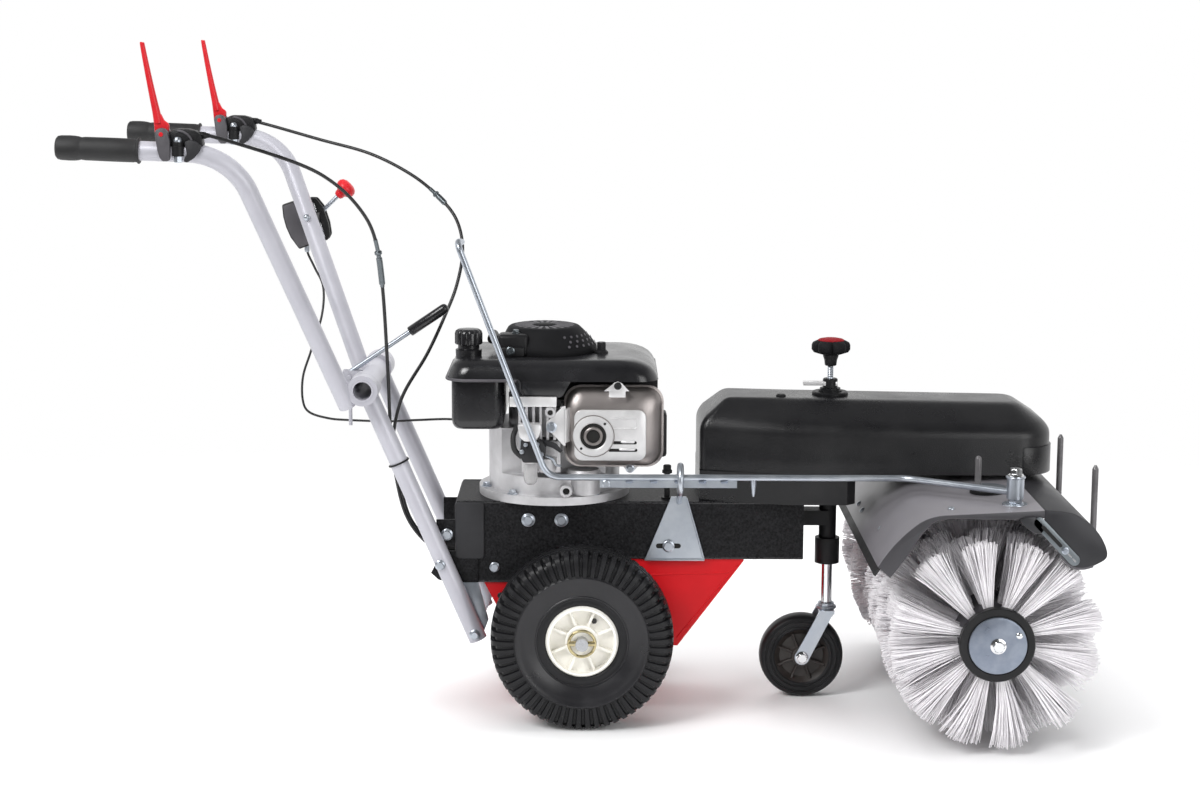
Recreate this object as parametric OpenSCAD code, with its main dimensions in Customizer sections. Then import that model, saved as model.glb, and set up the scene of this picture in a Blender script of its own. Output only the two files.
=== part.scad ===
// Walk-behind power brush sweeper with a swivelling brush head and a support caster.
// X points forwards to the brush, Y to the left, Z up. The ground is at Z = 0.

/* [Drive wheels] */
// Outer radius of a drive tyre
tyre_r = 144; // [138:1:150]
// Width of a drive tyre across its sidewalls
tyre_w = 88; // [80:1:94]
// Width of the flat tread
tread_w = 66; // [56:1:72]
// Radius of the rim under the tyre bead
rim_r = 57; // [52:1:62]
// Middle plane of the machine to the middle of a tyre
wheel_y = 170; // [165:1:180]
// Place of the axle along the machine
axle_x = -15; // [-20:1:-10]
// Radius of the axle
axle_r = 10; // [8:0.5:12]
// Radius of an axle bush
bush_r = 16; // [15:0.5:18]

/* [Frame] */
// Rear end of the frame box
frame_rear = -216; // [-222:1:-212]
// Front end of the frame box
frame_front = 338; // [320:1:345]
// Half the width of the frame box
frame_half = 88; // [84:1:92]
// Top of the frame box
frame_top = 343; // [340:1:350]
// Lower edge of the frame box at its rear
frame_low_rear = 211; // [205:1:220]
// Lower edge of the frame box at its front
frame_low_front = 250; // [244:1:256]
// Thickness of the frame sheet
sheet = 3; // [2:0.5:4]
// Lowest point of the axle carrier
carrier_low = 106; // [100:1:110]
// Wall of the axle carrier
carrier_t = 4; // [3:0.5:5]

/* [Engine] */
// Place of the crankshaft along the machine
crank_x = -62; // [-66:1:-58]
// Radius of the engine base flange
base_r = 122; // [118:1:126]
// Thickness of the engine base flange
base_t = 13; // [10:1:16]
// Radius of the crankcase
case_r = 106; // [100:1:110]
// Height of the block above the frame
block_h = 162; // [158:1:168]
// Height of the shroud from the block to its top
shroud_h = 69; // [64:1:74]
// Wall of the shroud
shroud_t = 3; // [2:0.5:4]
// Radius of the recoil starter cover
recoil_r = 82; // [76:1:86]
// Height of the recoil starter cover
recoil_h = 42; // [38:1:46]
// Radius of the fuel cap
cap_r = 21; // [19:0.5:23]

/* [Hood and boom] */
// Rear end of the belt hood
hood_rear = 171; // [165:1:178]
// Front end of the belt hood
hood_front = 732; // [725:1:740]
// Half the width of the hood
hood_half = 110; // [104:1:114]
// Top of the hood
hood_top = 507; // [503:1:512]
// Lower edge of the hood's front part
hood_low = 392; // [390:1:394]
// Wall of the hood
hood_t = 3; // [2:0.5:4]
// Half the width of the boom
boom_half = 60; // [56:1:64]

/* [Caster] */
// Place of the caster stem along the machine
caster_x = 385; // [380:1:388]
// Radius of the caster wheel
caster_r = 69; // [64:1:72]
// Width of the caster wheel
caster_w = 38; // [34:1:42]
// Distance from the stem back to the caster axle
caster_trail = 40; // [34:1:44]
// Radius of the caster stem
stem_r = 9; // [8:0.5:10]
// Radius of the star knob
knob_r = 31; // [28:1:34]

/* [Brush head] */
// Place of the head pivot along the machine
pivot_x = 610; // [606:1:614]
// Height of the brush axis
brush_z = 176; // [174:1:180]
// Radius over the bristle tips
brush_r = 172; // [165:1:173]
// Half the working width of the brush
brush_half = 318; // [300:1:325]
// Radius of the brush core
core_r = 45; // [42:1:46]
// Radius of the bristle backing
backing_r = 52; // [50:1:54]
// Half the gap between the two brush halves
brush_gap = 28; // [27:1:32]
// Half the width of the brush cover
cover_half = 338; // [334:1:345]
// Thickness of the cover sheet
cover_t = 2.5; // [2:0.5:3]
// Radius of a bin pin
pin_r = 5; // [4:0.5:6]

/* [Bristles] */
// Rings of tufts on each brush half
tuft_rings = 8; // [6:1:8]
// Tufts around each ring
tufts = 12; // [10:1:13]

/* [Handle] */
// Radius of the handle tubes
tube_r = 14.5; // [13:0.5:15]
// Wall of the handle tubes
tube_t = 2; // [1.5:0.5:3]
// Radius of the cross tube on the tilt axis
cross_r = 17.5; // [16:0.5:19]
// Place of the tilt axis along the machine
tilt_x = -358; // [-362:1:-354]
// Height of the tilt axis
tilt_z = 530; // [524:1:536]
// Half the spread of the grips
grip_y = 258; // [245:1:270]
// Radius of a grip
grip_r = 18; // [17:0.5:20]
// Rear end of the grips
grip_rear = -794; // [-800:1:-785]
// Height of a squeeze lever
lever_l = 133; // [125:1:140]

/* [Steering] */
// Radius of the steering rod
rod_r = 5; // [4:0.5:6]
// Distance of the rod from the middle plane
rod_y = 160; // [156:1:164]
// Height of the rod's straight run
rod_z = 397; // [395:1:400]

/* [Clearances] */
// Radial play of turning shafts and pivots
run_gap = 0.05; // [0.03:0.01:0.08]
// Radial play of parts seated on each other
seat_gap = 0.1; // [0.05:0.05:0.2]
// Side play between moving parts
side_gap = 0.5; // [0.4:0.1:0.8]

/* [Hidden] */
$fn = 48;
over = 1;
lap = 1;
swell = 0.08;
axle_z = tyre_r;
right = -1;
left = 1;

// Drive train inside the frame
worm_wheel_r = 30;
worm_wheel_w = 22;
worm_r = 14;
worm_shaft_r = 9;
worm_x = axle_x + worm_wheel_r + worm_r + side_gap;
worm_top = frame_top - sheet - 8;
worm_boss_h = 12;
worm_plate_z = frame_low_rear + 15;
worm_plate_t = 8;
worm_plate_half = 35;
belt_w = 18;
belt_t = 5;
belt_gap = 0.4;
wheel_belt_z = frame_top - 43;
brush_belt_z = frame_top - 81;
crank_r = 11;
crank_pulley_r = 25;
crank_brush_pulley_r = 35;
worm_pulley_r = 50;
jack_x = 250;
jack_r = 9;
jack_pulley_r = 35;
jack_top_pulley_r = 45;
jack_flange_r = 28;
jack_flange_t = 12;
head_belt_z = 440;
carrier_half = frame_half - sheet;
carrier_top = 300;
carrier_rear_top = -175;
carrier_rear_low = -120;
carrier_front_low = 138;
carrier_front_top = 243;
carrier_front_z = frame_low_front + 2;
carrier_step_x = 60;
wheel_axle_end = wheel_y + 54;
linch_y = wheel_axle_end - 10;
rim_w = tyre_w - 16;
hub_r = 22;
hub_end = wheel_y + 35;

// Engine
block_top = frame_top + block_h;
shroud_top = block_top + shroud_h;
shroud_split = block_top + 37;
shroud_rear = -229;
shroud_front = 104;
shroud_half = 125;
case_near = -66;
tank_rear = -224;
tank_front = -139;
tank_half = 110;
tank_low = 462;
neck_r = 15;
neck_x = -197;
neck_y = -60;
neck_top = shroud_top + 25;
muffler_x0 = -42;
muffler_x1 = 110;
muffler_z0 = 405;
muffler_z1 = 531;
muffler_near = -124;
muffler_far = -76;
outlet_x = 2;
outlet_z = 459;
flywheel_r = 75;
starter_z = shroud_top + 22;

// Hood, boom and caster
hood_waist = hood_top - 37;
hood_taper_x = 311;
hood_rear_half = 78;
hood_nose_r = 60;
skirt_front = 418;
boom_z = hood_low + 3;
boom_t = 6;
boom_rear = 205;
boom_front = 655;
boom_lip = 24;
riser_front = 330;
riser_t = 6;
spigot_r = 24;
spigot_bore = 14;
spigot_low = 355;
sleeve_r = 14;
sleeve_top = hood_top - hood_t - 1;
sleeve_low = 225;
collar_r = 20;
collar_top = 267;
spindle_r = 5;
stem_top = 478;
stem_bore_low = 250;
crown_top = 148;
crown_h = 14;
crown_r = 12;
crown_pin = 10;
crown_pin_r = 6;
fork_t = 4;
caster_axle_r = 6;

// Brush head
column_r = 34;
column_top = boom_z - 4;
column_low = 352;
neck_half_x = 26;
gearbox_r = 50;
gearbox_half = 22;
gearbox_t = 4;
brush_x = pivot_x;
shaft_r = 12;
input_r = 10;
gear_cone_r = 36;
gear_cone_y = 14;
pinion_cone_r = 14;
pinion_back_z = 36;
pinion_front_z = 24;
end_ring_r = 57;
end_disc_r = 44;
end_ring_w = 15;
cover_reach = 62;
cover_front_x = pivot_x + cover_reach;
cover_front_z = 385;
cover_front = [cover_front_x, cover_front_z];
cover_bend = cover_front - [169, 9];
cover_rear = cover_bend - [77, 78];
cover_bulge = 7;
cover_seam = unit([brush_x, brush_z] - cover_front);
flap_pts = [for (d = [[45, -5], [70, -21], [86, -42], [95, -67], [74, -86]]) cover_front + d];
cheek_w = 24;
lip_w = 14;
flap_cheek_w = 37;
bin_x = cover_front_x + 118;
bin_y = 136;
bin_plate_z = cover_front_z - 96;
bin_plate_t = 5;
bin_flange_t = 3;
bin_low = bin_plate_z - 10;
bin_top = 414;
bolt_x = cover_front_x - 35;
bolt_inset = 52;
bolt_y = bolt_inset - cover_half;
sleeve_z0 = 392;
sleeve_z1 = 423;

// Handle
lower_y = frame_half + 3 + tube_r;
lower_foot = [-182, 121];
ring_r = 24;
ring_w = 2 * tube_r;
upper_y = lower_y + 2 * tube_r + 1;
upper_foot = [-382, 504];
corner_x = -535;
corner_z = 902;
grip_z = 911.5;
bend_r = 95;
grip_front = -670;
lug_x = tilt_x - 36;
lug_z = tilt_z + 1;
lock_tip = [-234, 639];
lever_x = -635;
lever_z = 932;
lever_base_r = 10;
lever_tip_dx = -28;
lever_t = 7;
bracket_x0 = -655;
bracket_x1 = -598;
throttle_y = grip_y + 29;
throttle_x = -484;
throttle_z = 760;
throttle_hub_r = 20;
throttle_half = 15;
throttle_cheek = 6;
pivot_pin_r = 3;

// Routes of the cables
cable_r = 3;
throttle_cable_r = 2;
right_route = [
  [-596.4, -258, 931], [-565, -258, 929], [-445, -240, 890], [-390, -215, 858], [-352, -190, 815],
  [-333, -165, 768], [-325, -140, 690], [-322, -105, 560], [-321, -85, 470], [-316, -80, 400],
  [-300, -70, 320], [-270, -60, 272], [-240, -52, 257], [-216.7, -50, 255]
];
left_route = [
  [-596.4, 258, 931], [-567, 258, 927], [-465, 240, 900], [-378, 215, 878], [-307, 180, 846],
  [-258, 140, 812], [-226, 110, 776], [-214, 80, 729], [-222, 50, 675], [-241, 30, 625],
  [-268, 0, 567], [-306, -40, 502], [-319, -66, 435], [-313, -66, 390], [-296, -56, 315],
  [-268, -46, 272], [-240, -38, 257], [-216.7, -36, 255]
];
throttle_route = [
  [-496, 287, 708.5], [-494, 287, 699], [-482, 280, 676], [-467, 268, 645], [-468, 250, 598], [-484, 220, 540],
  [-495, 195, 500], [-493, 170, 464], [-480, 150, 446], [-446, 130, 439], [-410, 112, 439],
  [-340, 84, 442], [-290, 74, 446], [-234, 60, 450], [-195, 46, 446], [-162, 40, 440]
];

// Extrudes an outline given in X and Z between two planes of Y
module side_plate(y0, y1) {
  translate([0, y1, 0]) rotate([90, 0, 0]) linear_extrude(height = y1 - y0) children();
}

// Cylinder along Y between two planes
module y_bar(x, z, y0, y1, r) {
  translate([x, y1, z]) rotate([90, 0, 0]) cylinder(h = y1 - y0, r = r);
}

// Shape turned about an axis along Y, drawn with its height along +Y
module y_turned(x, z) {
  translate([x, 0, z]) rotate([-90, 0, 0]) children();
}

// Upright cylinder between two heights
module post(x, y, z0, z1, r) {
  translate([x, y, z0]) cylinder(h = z1 - z0, r = r);
}

function unit(v) = v / norm(v);

// Turns the Z axis into the direction from a to b and starts at a
module along(a, b) {
  d = unit(b - a);
  translate(a) rotate([0, acos(d.z), atan2(d.y, d.x)]) children();
}

// Round bar between two points
module bar(a, b, r) {
  along(a, b) cylinder(h = norm(b - a), r = r);
}

// Round tube between two points
module pipe(a, b, r, t) {
  along(a, b) difference() {
    cylinder(h = norm(b - a), r = r);
    translate([0, 0, -over]) cylinder(h = norm(b - a) + 2 * over, r = r - t);
  }
}

// Straight tangent length that a bend uses up at a corner
function bend_cut(a, p, b, bend) = bend * tan(acos(unit(p - a) * unit(b - p)) / 2);

// Bend between the two straight runs that meet at p; t is the wall, or 0 for a solid bar
module bend(a, p, b, r, radius, t = 0) {
  d1 = unit(p - a);
  d2 = unit(b - p);
  turn = acos(d1 * d2);
  n = unit(d2 - d1 * (d1 * d2));
  c = p - d1 * bend_cut(a, p, b, radius) + n * radius;
  up = cross(-n, d1);
  multmatrix([[-n.x, d1.x, up.x, c.x], [-n.y, d1.y, up.y, c.y], [-n.z, d1.z, up.z, c.z], [0, 0, 0, 1]])
    rotate_extrude(angle = turn) translate([radius, 0]) difference() {
      circle(r = r);
      if (t > 0) circle(r = r - t);
    }
}

// Hexagon bolt head with a flange, pointing along +Z
module bolt_head(flange_r, hex_r, h) {
  cylinder(h = h * 0.3, r = flange_r);
  cylinder(h = h, r = hex_r, $fn = 6);
}

// Bolt head on a side plane, pointing outwards
module side_bolt(x, y, z, flange_r = 11, hex_r = 8, h = 7) {
  translate([x, y, z]) rotate([y > 0 ? -90 : 90, 0, 0]) bolt_head(flange_r, hex_r, h);
}

// Smooth point on a route between its points i and i + 1
function route_at(p, i, f) =
  let (n = len(p) - 1, a = p[max(i - 1, 0)], b = p[i], c = p[min(i + 1, n)], d = p[min(i + 2, n)])
  0.5 * (2 * b + (c - a) * f + (2 * a - 5 * b + 4 * c - d) * f * f + (3 * b - a - 3 * c + d) * f * f * f);

// Cable of round section swept along a route
module cable(route, r) {
  sides = 8;
  steps = 2;
  last = (len(route) - 1) * steps;
  pts = [for (i = [0 : last])
    i == last ? route[len(route) - 1] : route_at(route, floor(i / steps), (i % steps) / steps)];
  ring_pts = [
    for (i = [0 : last])
      let (
        t = unit(pts[min(i + 1, last)] - pts[max(i - 1, 0)]),
        u = unit(cross([0, 1, 0], t)),
        w = cross(t, u)
      )
      for (k = [0 : sides - 1]) pts[i] + r * (u * cos(k * 360 / sides) + w * sin(k * 360 / sides))
  ];
  walls = [
    for (i = [0 : last - 1], k = [0 : sides - 1])
      let (a = i * sides + k, b = i * sides + (k + 1) % sides)
      for (f = [[a, a + sides, b], [b, a + sides, b + sides]]) f
  ];
  caps = [
    for (k = [1 : sides - 2])
      for (f = [[0, k, k + 1], [last * sides, last * sides + k + 1, last * sides + k]]) f
  ];
  polyhedron(points = ring_pts, faces = concat(walls, caps));
}

// Black sheet box that carries the engine
module frame_box() {
  step_rear = -100;
  step_front = -60;
  tab_rear = frame_rear - 33;
  tab_low = 275;
  tab_top = 313;
  color("#1b1b1d") difference() {
    union() {
      side_plate(-frame_half, frame_half) polygon([
        [frame_rear, frame_low_rear], [step_rear, frame_low_rear], [step_front, frame_low_front],
        [frame_front, frame_low_front], [frame_front, frame_top], [frame_rear, frame_top]
      ]);
      for (side = [right, left])
        translate([tab_rear, side * (frame_half - sheet / 2) - sheet / 2, tab_low])
          cube([frame_rear - tab_rear + over, sheet, tab_top - tab_low]);
    }
    translate([frame_rear + sheet, -carrier_half, frame_low_rear - over])
      cube([frame_front - frame_rear - 2 * sheet, 2 * carrier_half, frame_top - sheet - frame_low_rear + over]);
    post(crank_x, 0, frame_low_rear, frame_top + over, crank_pulley_r + 5);
    post(jack_x, 0, frame_low_rear, frame_top + over, jack_r + 3);
  }
}

// Outline of the axle carrier, drawn in by a wall
function carrier_outline(g, top) = [
  [carrier_rear_top + g, frame_low_rear + 3], [carrier_rear_low + g, carrier_low + g],
  [carrier_front_low - g, carrier_low + g], [carrier_front_top - g, frame_low_front - 4],
  [carrier_front_top - g, carrier_front_z + top - carrier_top],
  [carrier_step_x, carrier_front_z + top - carrier_top],
  [carrier_step_x, top], [carrier_rear_top + g, top]
];

// Red carrier that holds the axle and the worm drive
module axle_carrier() {
  color("#d8131d") difference() {
    union() {
      difference() {
        side_plate(-carrier_half, carrier_half) polygon(carrier_outline(0, carrier_top));
        side_plate(-carrier_half + carrier_t, carrier_half - carrier_t)
          polygon(carrier_outline(carrier_t, carrier_top + over));
      }
      translate([worm_x - worm_plate_half, -carrier_half + carrier_t - over, worm_plate_z])
        cube([2 * worm_plate_half, 2 * (carrier_half - carrier_t + over), worm_plate_t]);
      post(worm_x, 0, carrier_low + carrier_t - over, carrier_low + carrier_t + worm_boss_h, worm_shaft_r + 7);
    }
    y_bar(axle_x, axle_z, -carrier_half - over, carrier_half + over, bush_r + seat_gap);
    post(worm_x, 0, carrier_low + carrier_t, worm_plate_z + worm_plate_t + over, worm_shaft_r + run_gap);
  }
}

// Bronze axle bushes and the flange bearing of the jackshaft
module bearings() {
  bush_out = 8;
  color("#b08d4f") {
    for (side = [right, left])
      difference() {
        y_bar(axle_x, axle_z, side > 0 ? carrier_half - carrier_t : -carrier_half - bush_out,
          side > 0 ? carrier_half + bush_out : -carrier_half + carrier_t, bush_r);
        y_bar(axle_x, axle_z, -carrier_half - 2 * bush_out, carrier_half + 2 * bush_out, axle_r + run_gap);
      }
    difference() {
      post(jack_x, 0, frame_top, frame_top + jack_flange_t, jack_flange_r);
      post(jack_x, 0, frame_top - over, frame_top + jack_flange_t + over, jack_r + run_gap);
    }
  }
}

// Plastic cover around the rear end of the frame box
module rear_cover() {
  t = 2;
  low = 264;
  reach = 44;
  color("#3a3a3d") difference() {
    translate([frame_rear - t, -frame_half - t, low])
      cube([reach, 2 * (frame_half + t), frame_top - low - t]);
    translate([frame_rear, -frame_half, low - over])
      cube([reach + over, 2 * frame_half, frame_top]);
    for (side = [right, left])
      translate([frame_rear - t - over, side * (frame_half - sheet / 2) - sheet, low - over])
        cube([t + 2 * over, 2 * sheet, 50]);
  }
}

// Bolts on the sides of the frame, the handle tubes and the rod guide
module fasteners() {
  frame_bolts = [[-102, 313], [-49, 313], [-156, 236]];
  tab_bolt = [-232, 289];
  tube_bolts = [[-241, 246], [-187, 132]];
  color("#c3c8cf") {
    for (side = [right, left]) {
      for (p = frame_bolts) side_bolt(p.x, side * frame_half, p.y);
      side_bolt(tab_bolt.x, side * frame_half, tab_bolt.y, 10);
      for (p = tube_bolts) side_bolt(p.x, side * (lower_y + tube_r), p.y, 8, 6.5, 5);
    }
    side_bolt(guide_bolt_x, -frame_half - guide_t, guide_bolt_z);
  }
}

// Cast block with base flange, crankcase, cylinder and cooling fins
module engine_block() {
  case_low = frame_top + base_t;
  step_z = case_low + 29;
  fin_x = [for (i = [0 : 6]) -116 + i * 11];
  fin_near = -128;
  fin_t = 4;
  fin_low = 450;
  sump_r = 58;
  upper_case_r = 74;
  color("#b9bbbd") difference() {
    union() {
      post(crank_x, 0, frame_top, case_low, base_r);
      post(crank_x, 0, case_low - over, step_z, case_r);
      intersection() {
        post(crank_x, 0, step_z - over, tank_low - 4, case_r);
        translate([crank_x - 2 * case_r, case_near, step_z - 2 * over])
          cube([4 * case_r, 4 * case_r, 2 * block_h]);
      }
      post(crank_x, 0, tank_low - 5, block_top, upper_case_r);
      translate([crank_x + 40, -56, 410]) cube([110, 112, block_top - 410]);
      for (x = fin_x)
        translate([x, fin_near, fin_low])
          cube([fin_t, case_near - fin_near + 2 * fin_t, block_top - 2 - fin_low]);
      translate([fin_x[0], case_near - 34, fin_low]) cube([fin_x[6] - fin_x[0] + fin_t, 36, 46]);
    }
    post(crank_x, 0, frame_top - over, block_top + over, crank_r + run_gap);
    post(crank_x, 0, case_low, block_top - base_t, sump_r);
  }
}

// Plan of the shroud's lower part, drawn in by a wall
function shroud_plan(g) = [
  [-130 + g, -shroud_half + g], [-55 - g, -shroud_half + g], [-55 - g, -56 + g], [shroud_front - g, -56 + g],
  [shroud_front - g, shroud_half - g], [-130 + g, shroud_half - g]
];

// Rounded upper form of the shroud, drawn in by a wall
module shroud_dome(g) {
  r = 28;
  draw_in = 20;
  hull()
    for (x = [shroud_rear + r, shroud_front - r], y = [-shroud_half + r, shroud_half - r]) {
      translate([x, y, shroud_split + g]) cylinder(h = 8, r = r - g, $fn = 32);
      translate([x, y, shroud_top - g - 1]) cylinder(h = 1, r = r - g - draw_in, $fn = 32);
    }
}

// Black cooling shroud over the block
module engine_shroud() {
  color("#1d1d20") difference() {
    union() {
      shroud_dome(0);
      translate([0, 0, block_top]) linear_extrude(height = shroud_split - block_top + over)
        polygon(shroud_plan(0));
    }
    shroud_dome(shroud_t);
    translate([0, 0, block_top + shroud_t]) linear_extrude(height = shroud_split - block_top + shroud_t)
      polygon(shroud_plan(shroud_t));
    post(crank_x, 0, block_top - over, block_top + 2 * shroud_t, crank_r + 20);
    post(crank_x, 0, shroud_top - 2 * shroud_t, shroud_top + over, recoil_r - 14);
    post(neck_x, neck_y, shroud_split - over, shroud_top + over, neck_r + 2);
  }
}

// Slotted cover over the recoil starter
module recoil_cover() {
  slots = 16;
  slot_in = 22;
  slot_w = 5;
  wall = 3;
  taper = 22;
  taper_h = 24;
  lip = 10;
  top_r = recoil_r - taper;
  slot_l = top_r - wall - slot_in;
  color("#161618") difference() {
    union() {
      translate([crank_x, 0, shroud_top]) rotate_extrude() polygon([
        [recoil_r - lip, 0], [recoil_r, 0], [recoil_r, recoil_h - taper_h], [top_r, recoil_h],
        [0, recoil_h], [0, recoil_h - wall], [top_r - wall, recoil_h - wall],
        [recoil_r - wall, recoil_h - taper_h - wall], [recoil_r - wall, wall], [recoil_r - lip, wall]
      ]);
      translate([crank_x - recoil_r - 8, -12, starter_z - 9]) cube([12, 24, 18]);
    }
    for (i = [0 : slots - 1])
      translate([crank_x, 0, shroud_top + recoil_h - wall - over]) rotate(i * 360 / slots)
        translate([slot_in, -slot_w / 2, 0]) cube([slot_l, slot_w, wall + 2 * over]);
    translate([crank_x - recoil_r - 20, 0, starter_z]) rotate([0, 90, 0]) cylinder(h = 40, r = 3);
  }
}

// Pull grip of the recoil starter with the end of its rope
module starter_grip() {
  grip_x = crank_x - recoil_r - 17;
  color("#161618") {
    y_bar(grip_x, starter_z, -26, 26, 8);
    translate([grip_x, 0, starter_z]) rotate([0, 90, 0]) cylinder(h = 45, r = 2.5);
  }
}

// Fuel tank under the rear of the shroud with its filler neck
module fuel_tank() {
  r = 18;
  color("#2b2b2f") {
    hull()
      for (x = [tank_rear + r, tank_front - r], y = [-tank_half + r, tank_half - r]) {
        translate([x, y, tank_low + r]) sphere(r = r, $fn = 24);
        translate([x, y, shroud_split - 1]) cylinder(h = 1, r = r, $fn = 24);
      }
    post(neck_x, neck_y, shroud_split - 10, neck_top, neck_r);
  }
}

// Cap on the filler neck
module fuel_cap() {
  skirt = 13;
  top_h = 18;
  color("#161618") difference() {
    post(neck_x, neck_y, neck_top - skirt, neck_top + top_h, cap_r);
    post(neck_x, neck_y, neck_top - skirt - over, neck_top + side_gap, neck_r + side_gap);
  }
}

// Pressed steel muffler with its outlet
module muffler() {
  r = 26;
  ring_r = 30.5;
  hole_r = 20.5;
  tail_r = 12;
  tab_x = 39;
  wall = 4;
  room = 13;
  tab_z = 539;
  color("#a7a4a2") {
    difference() {
      union() {
        hull()
          for (x = [muffler_x0 + r, muffler_x1 - r], z = [muffler_z0 + r, muffler_z1 - r])
            translate([x, muffler_far, z]) rotate([90, 0, 0])
              cylinder(h = muffler_far - muffler_near, r1 = r, r2 = r - 5, $fn = 32);
        y_bar(outlet_x, outlet_z, muffler_near - 3, muffler_near + 5, ring_r);
        translate([tab_x - 14, -104, muffler_z1 - 8]) cube([28, 4, 17]);
        y_bar(tab_x, tab_z - 5, -109, -103, 6);
      }
      y_bar(outlet_x, outlet_z, muffler_near - 4, muffler_near + 9, hole_r);
      y_bar(outlet_x, outlet_z, muffler_near, muffler_far - wall, tail_r - 2);
      translate([muffler_x0 + room, muffler_near + 12, muffler_z0 + room])
        cube([
          muffler_x1 - muffler_x0 - 2 * room, muffler_far - muffler_near - 12 - wall,
          muffler_z1 - muffler_z0 - 2 * room
        ]);
    }
    difference() {
      y_bar(outlet_x, outlet_z, muffler_near, muffler_near + 10, tail_r);
      y_bar(outlet_x, outlet_z, muffler_near - over, muffler_near + 11, tail_r - 2);
    }
    translate([muffler_x0 - 4, muffler_far - 20, 452]) cube([8, 20, 40]);
  }
}

// Carburettor with its fuel filter bowl
module carburettor() {
  color("#8d8f92") {
    translate([-112, -112, 392]) cube([62, 112 + case_near, 52]);
    post(-97, -114, 372, 406, 12);
    post(-66, -110, 398, 420, 14);
  }
}

// Closed form of the belt hood above its lower edge, drawn in by a wall
module hood_form(g) {
  low = hood_low - (g > 0 ? over : 0);
  top_rear = hood_rear + 43;
  top_half = 50;
  top_nose = hood_front - 50;
  hull() {
    translate([hood_rear + g, -hood_rear_half + g, low]) cube([1, 2 * (hood_rear_half - g), hood_waist - low]);
    translate([hood_taper_x, -hood_half + g, low]) cube([1, 2 * (hood_half - g), hood_waist - low]);
    for (side = [right, left]) {
      translate([hood_front - hood_nose_r, side * (hood_half - hood_nose_r), low])
        cylinder(h = hood_waist - low, r = hood_nose_r - g, $fn = 32);
      translate([top_nose - 20, side * (top_half - 20), hood_top - g - 1])
        cylinder(h = 1, r = 20 - g / 2, $fn = 32);
    }
    translate([top_rear + g / 2, -top_half + g / 2, hood_top - g - 1]) cube([1, 2 * top_half - g, 1]);
  }
}

// Plan of the hood's rear skirt, drawn in by a wall
function skirt_plan(g) = [
  [hood_rear + g, -hood_rear_half + g], [hood_taper_x, -hood_half + g], [skirt_front - g, -hood_half + g],
  [skirt_front - g, hood_half - g], [hood_taper_x, hood_half - g], [hood_rear + g, hood_rear_half - g]
];

// Black plastic hood over the brush belt
module hood() {
  collar_h = 7;
  color("#161619") difference() {
    union() {
      hood_form(0);
      translate([0, 0, frame_top]) linear_extrude(height = hood_low - frame_top + over) polygon(skirt_plan(0));
      post(caster_x, 0, hood_top - hood_t, hood_top + 2, 28);
      post(caster_x, 0, hood_top - hood_t, hood_top + collar_h, 17);
    }
    hood_form(hood_t);
    translate([0, 0, frame_top - over]) linear_extrude(height = hood_low - frame_top + 2 * over)
      polygon(skirt_plan(hood_t));
    post(caster_x, 0, hood_top - 2 * hood_t, hood_top + collar_h + over, spindle_r + 2);
  }
}

// Channel from the frame to the head pivot, with the riser on the frame and the pivot spigot
module boom() {
  belt_room = 4;
  color("#202024") difference() {
    union() {
      translate([boom_rear, -boom_half, boom_z]) cube([boom_front - boom_rear, 2 * boom_half, boom_t]);
      for (side = [right, left]) {
        translate([boom_rear, side > 0 ? boom_half - belt_room : -boom_half, boom_z])
          cube([boom_front - boom_rear, belt_room, boom_lip + boom_t]);
        translate([boom_rear, side > 0 ? boom_half - riser_t : -boom_half, frame_top])
          cube([riser_front - boom_rear, riser_t, boom_z - frame_top + over]);
      }
      post(pivot_x, 0, spigot_low, boom_z + over, spigot_r);
    }
    post(pivot_x, 0, spigot_low - over, boom_z + boom_t + over, spigot_bore);
    post(jack_x, 0, boom_z - over, boom_z + boom_t + over, jack_r + 3);
    post(caster_x, 0, boom_z - over, boom_z + boom_t + over, sleeve_r + seat_gap);
  }
}

// Lower handle tube with its ring around the cross tube
module lower_tube(side) {
  y = side * lower_y;
  foot = [lower_foot.x, y, lower_foot.y];
  axis = [tilt_x, y, tilt_z];
  top = axis - unit(axis - foot) * (cross_r + 2);
  color("#c9c9cd") difference() {
    union() {
      pipe(foot, top, tube_r, tube_t);
      y_bar(tilt_x, tilt_z, y - ring_w / 2, y + ring_w / 2, ring_r);
    }
    y_bar(tilt_x, tilt_z, y - ring_w, y + ring_w, cross_r + run_gap);
  }
}

module lower_tube_right() {
  lower_tube(right);
}

module lower_tube_left() {
  lower_tube(left);
}

// Zinc plates that join the lower tubes to the frame sides
module handle_brackets() {
  t = 3;
  color("#c3c8cf") for (side = [right, left])
    side_plate(side > 0 ? frame_half : -frame_half - t, side > 0 ? frame_half + t : -frame_half)
      polygon([[-258, 226], [-240, 262], [-182, 262], [-182, 216], [-166, 150], [-178, 118], [-200, 118]]);
}

// Zinc bracket with the guide eye for the steering rod
guide_t = 4;
guide_x = 138;
guide_bolt_x = 122;
guide_bolt_z = 272;
eye_r = 22;
eye_wire = 5;
module rod_guide() {
  eye_y = -rod_y + 8;
  eye_z = rod_z - 5;
  foot_y = -frame_half - guide_t / 2;
  top_z = 352;
  color("#c3c8cf") {
    side_plate(-frame_half - guide_t, -frame_half)
      polygon([[84, frame_low_front - 2], [180, frame_low_front - 2], [150, top_z], [126, top_z]]);
    bar([guide_x, foot_y - 1, top_z - 8], [guide_x, eye_y, eye_z - eye_r], eye_wire - 0.5);
    translate([guide_x, eye_y, eye_z]) rotate([0, 90, 0]) rotate_extrude()
      translate([eye_r, 0]) circle(r = eye_wire);
  }
}

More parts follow.
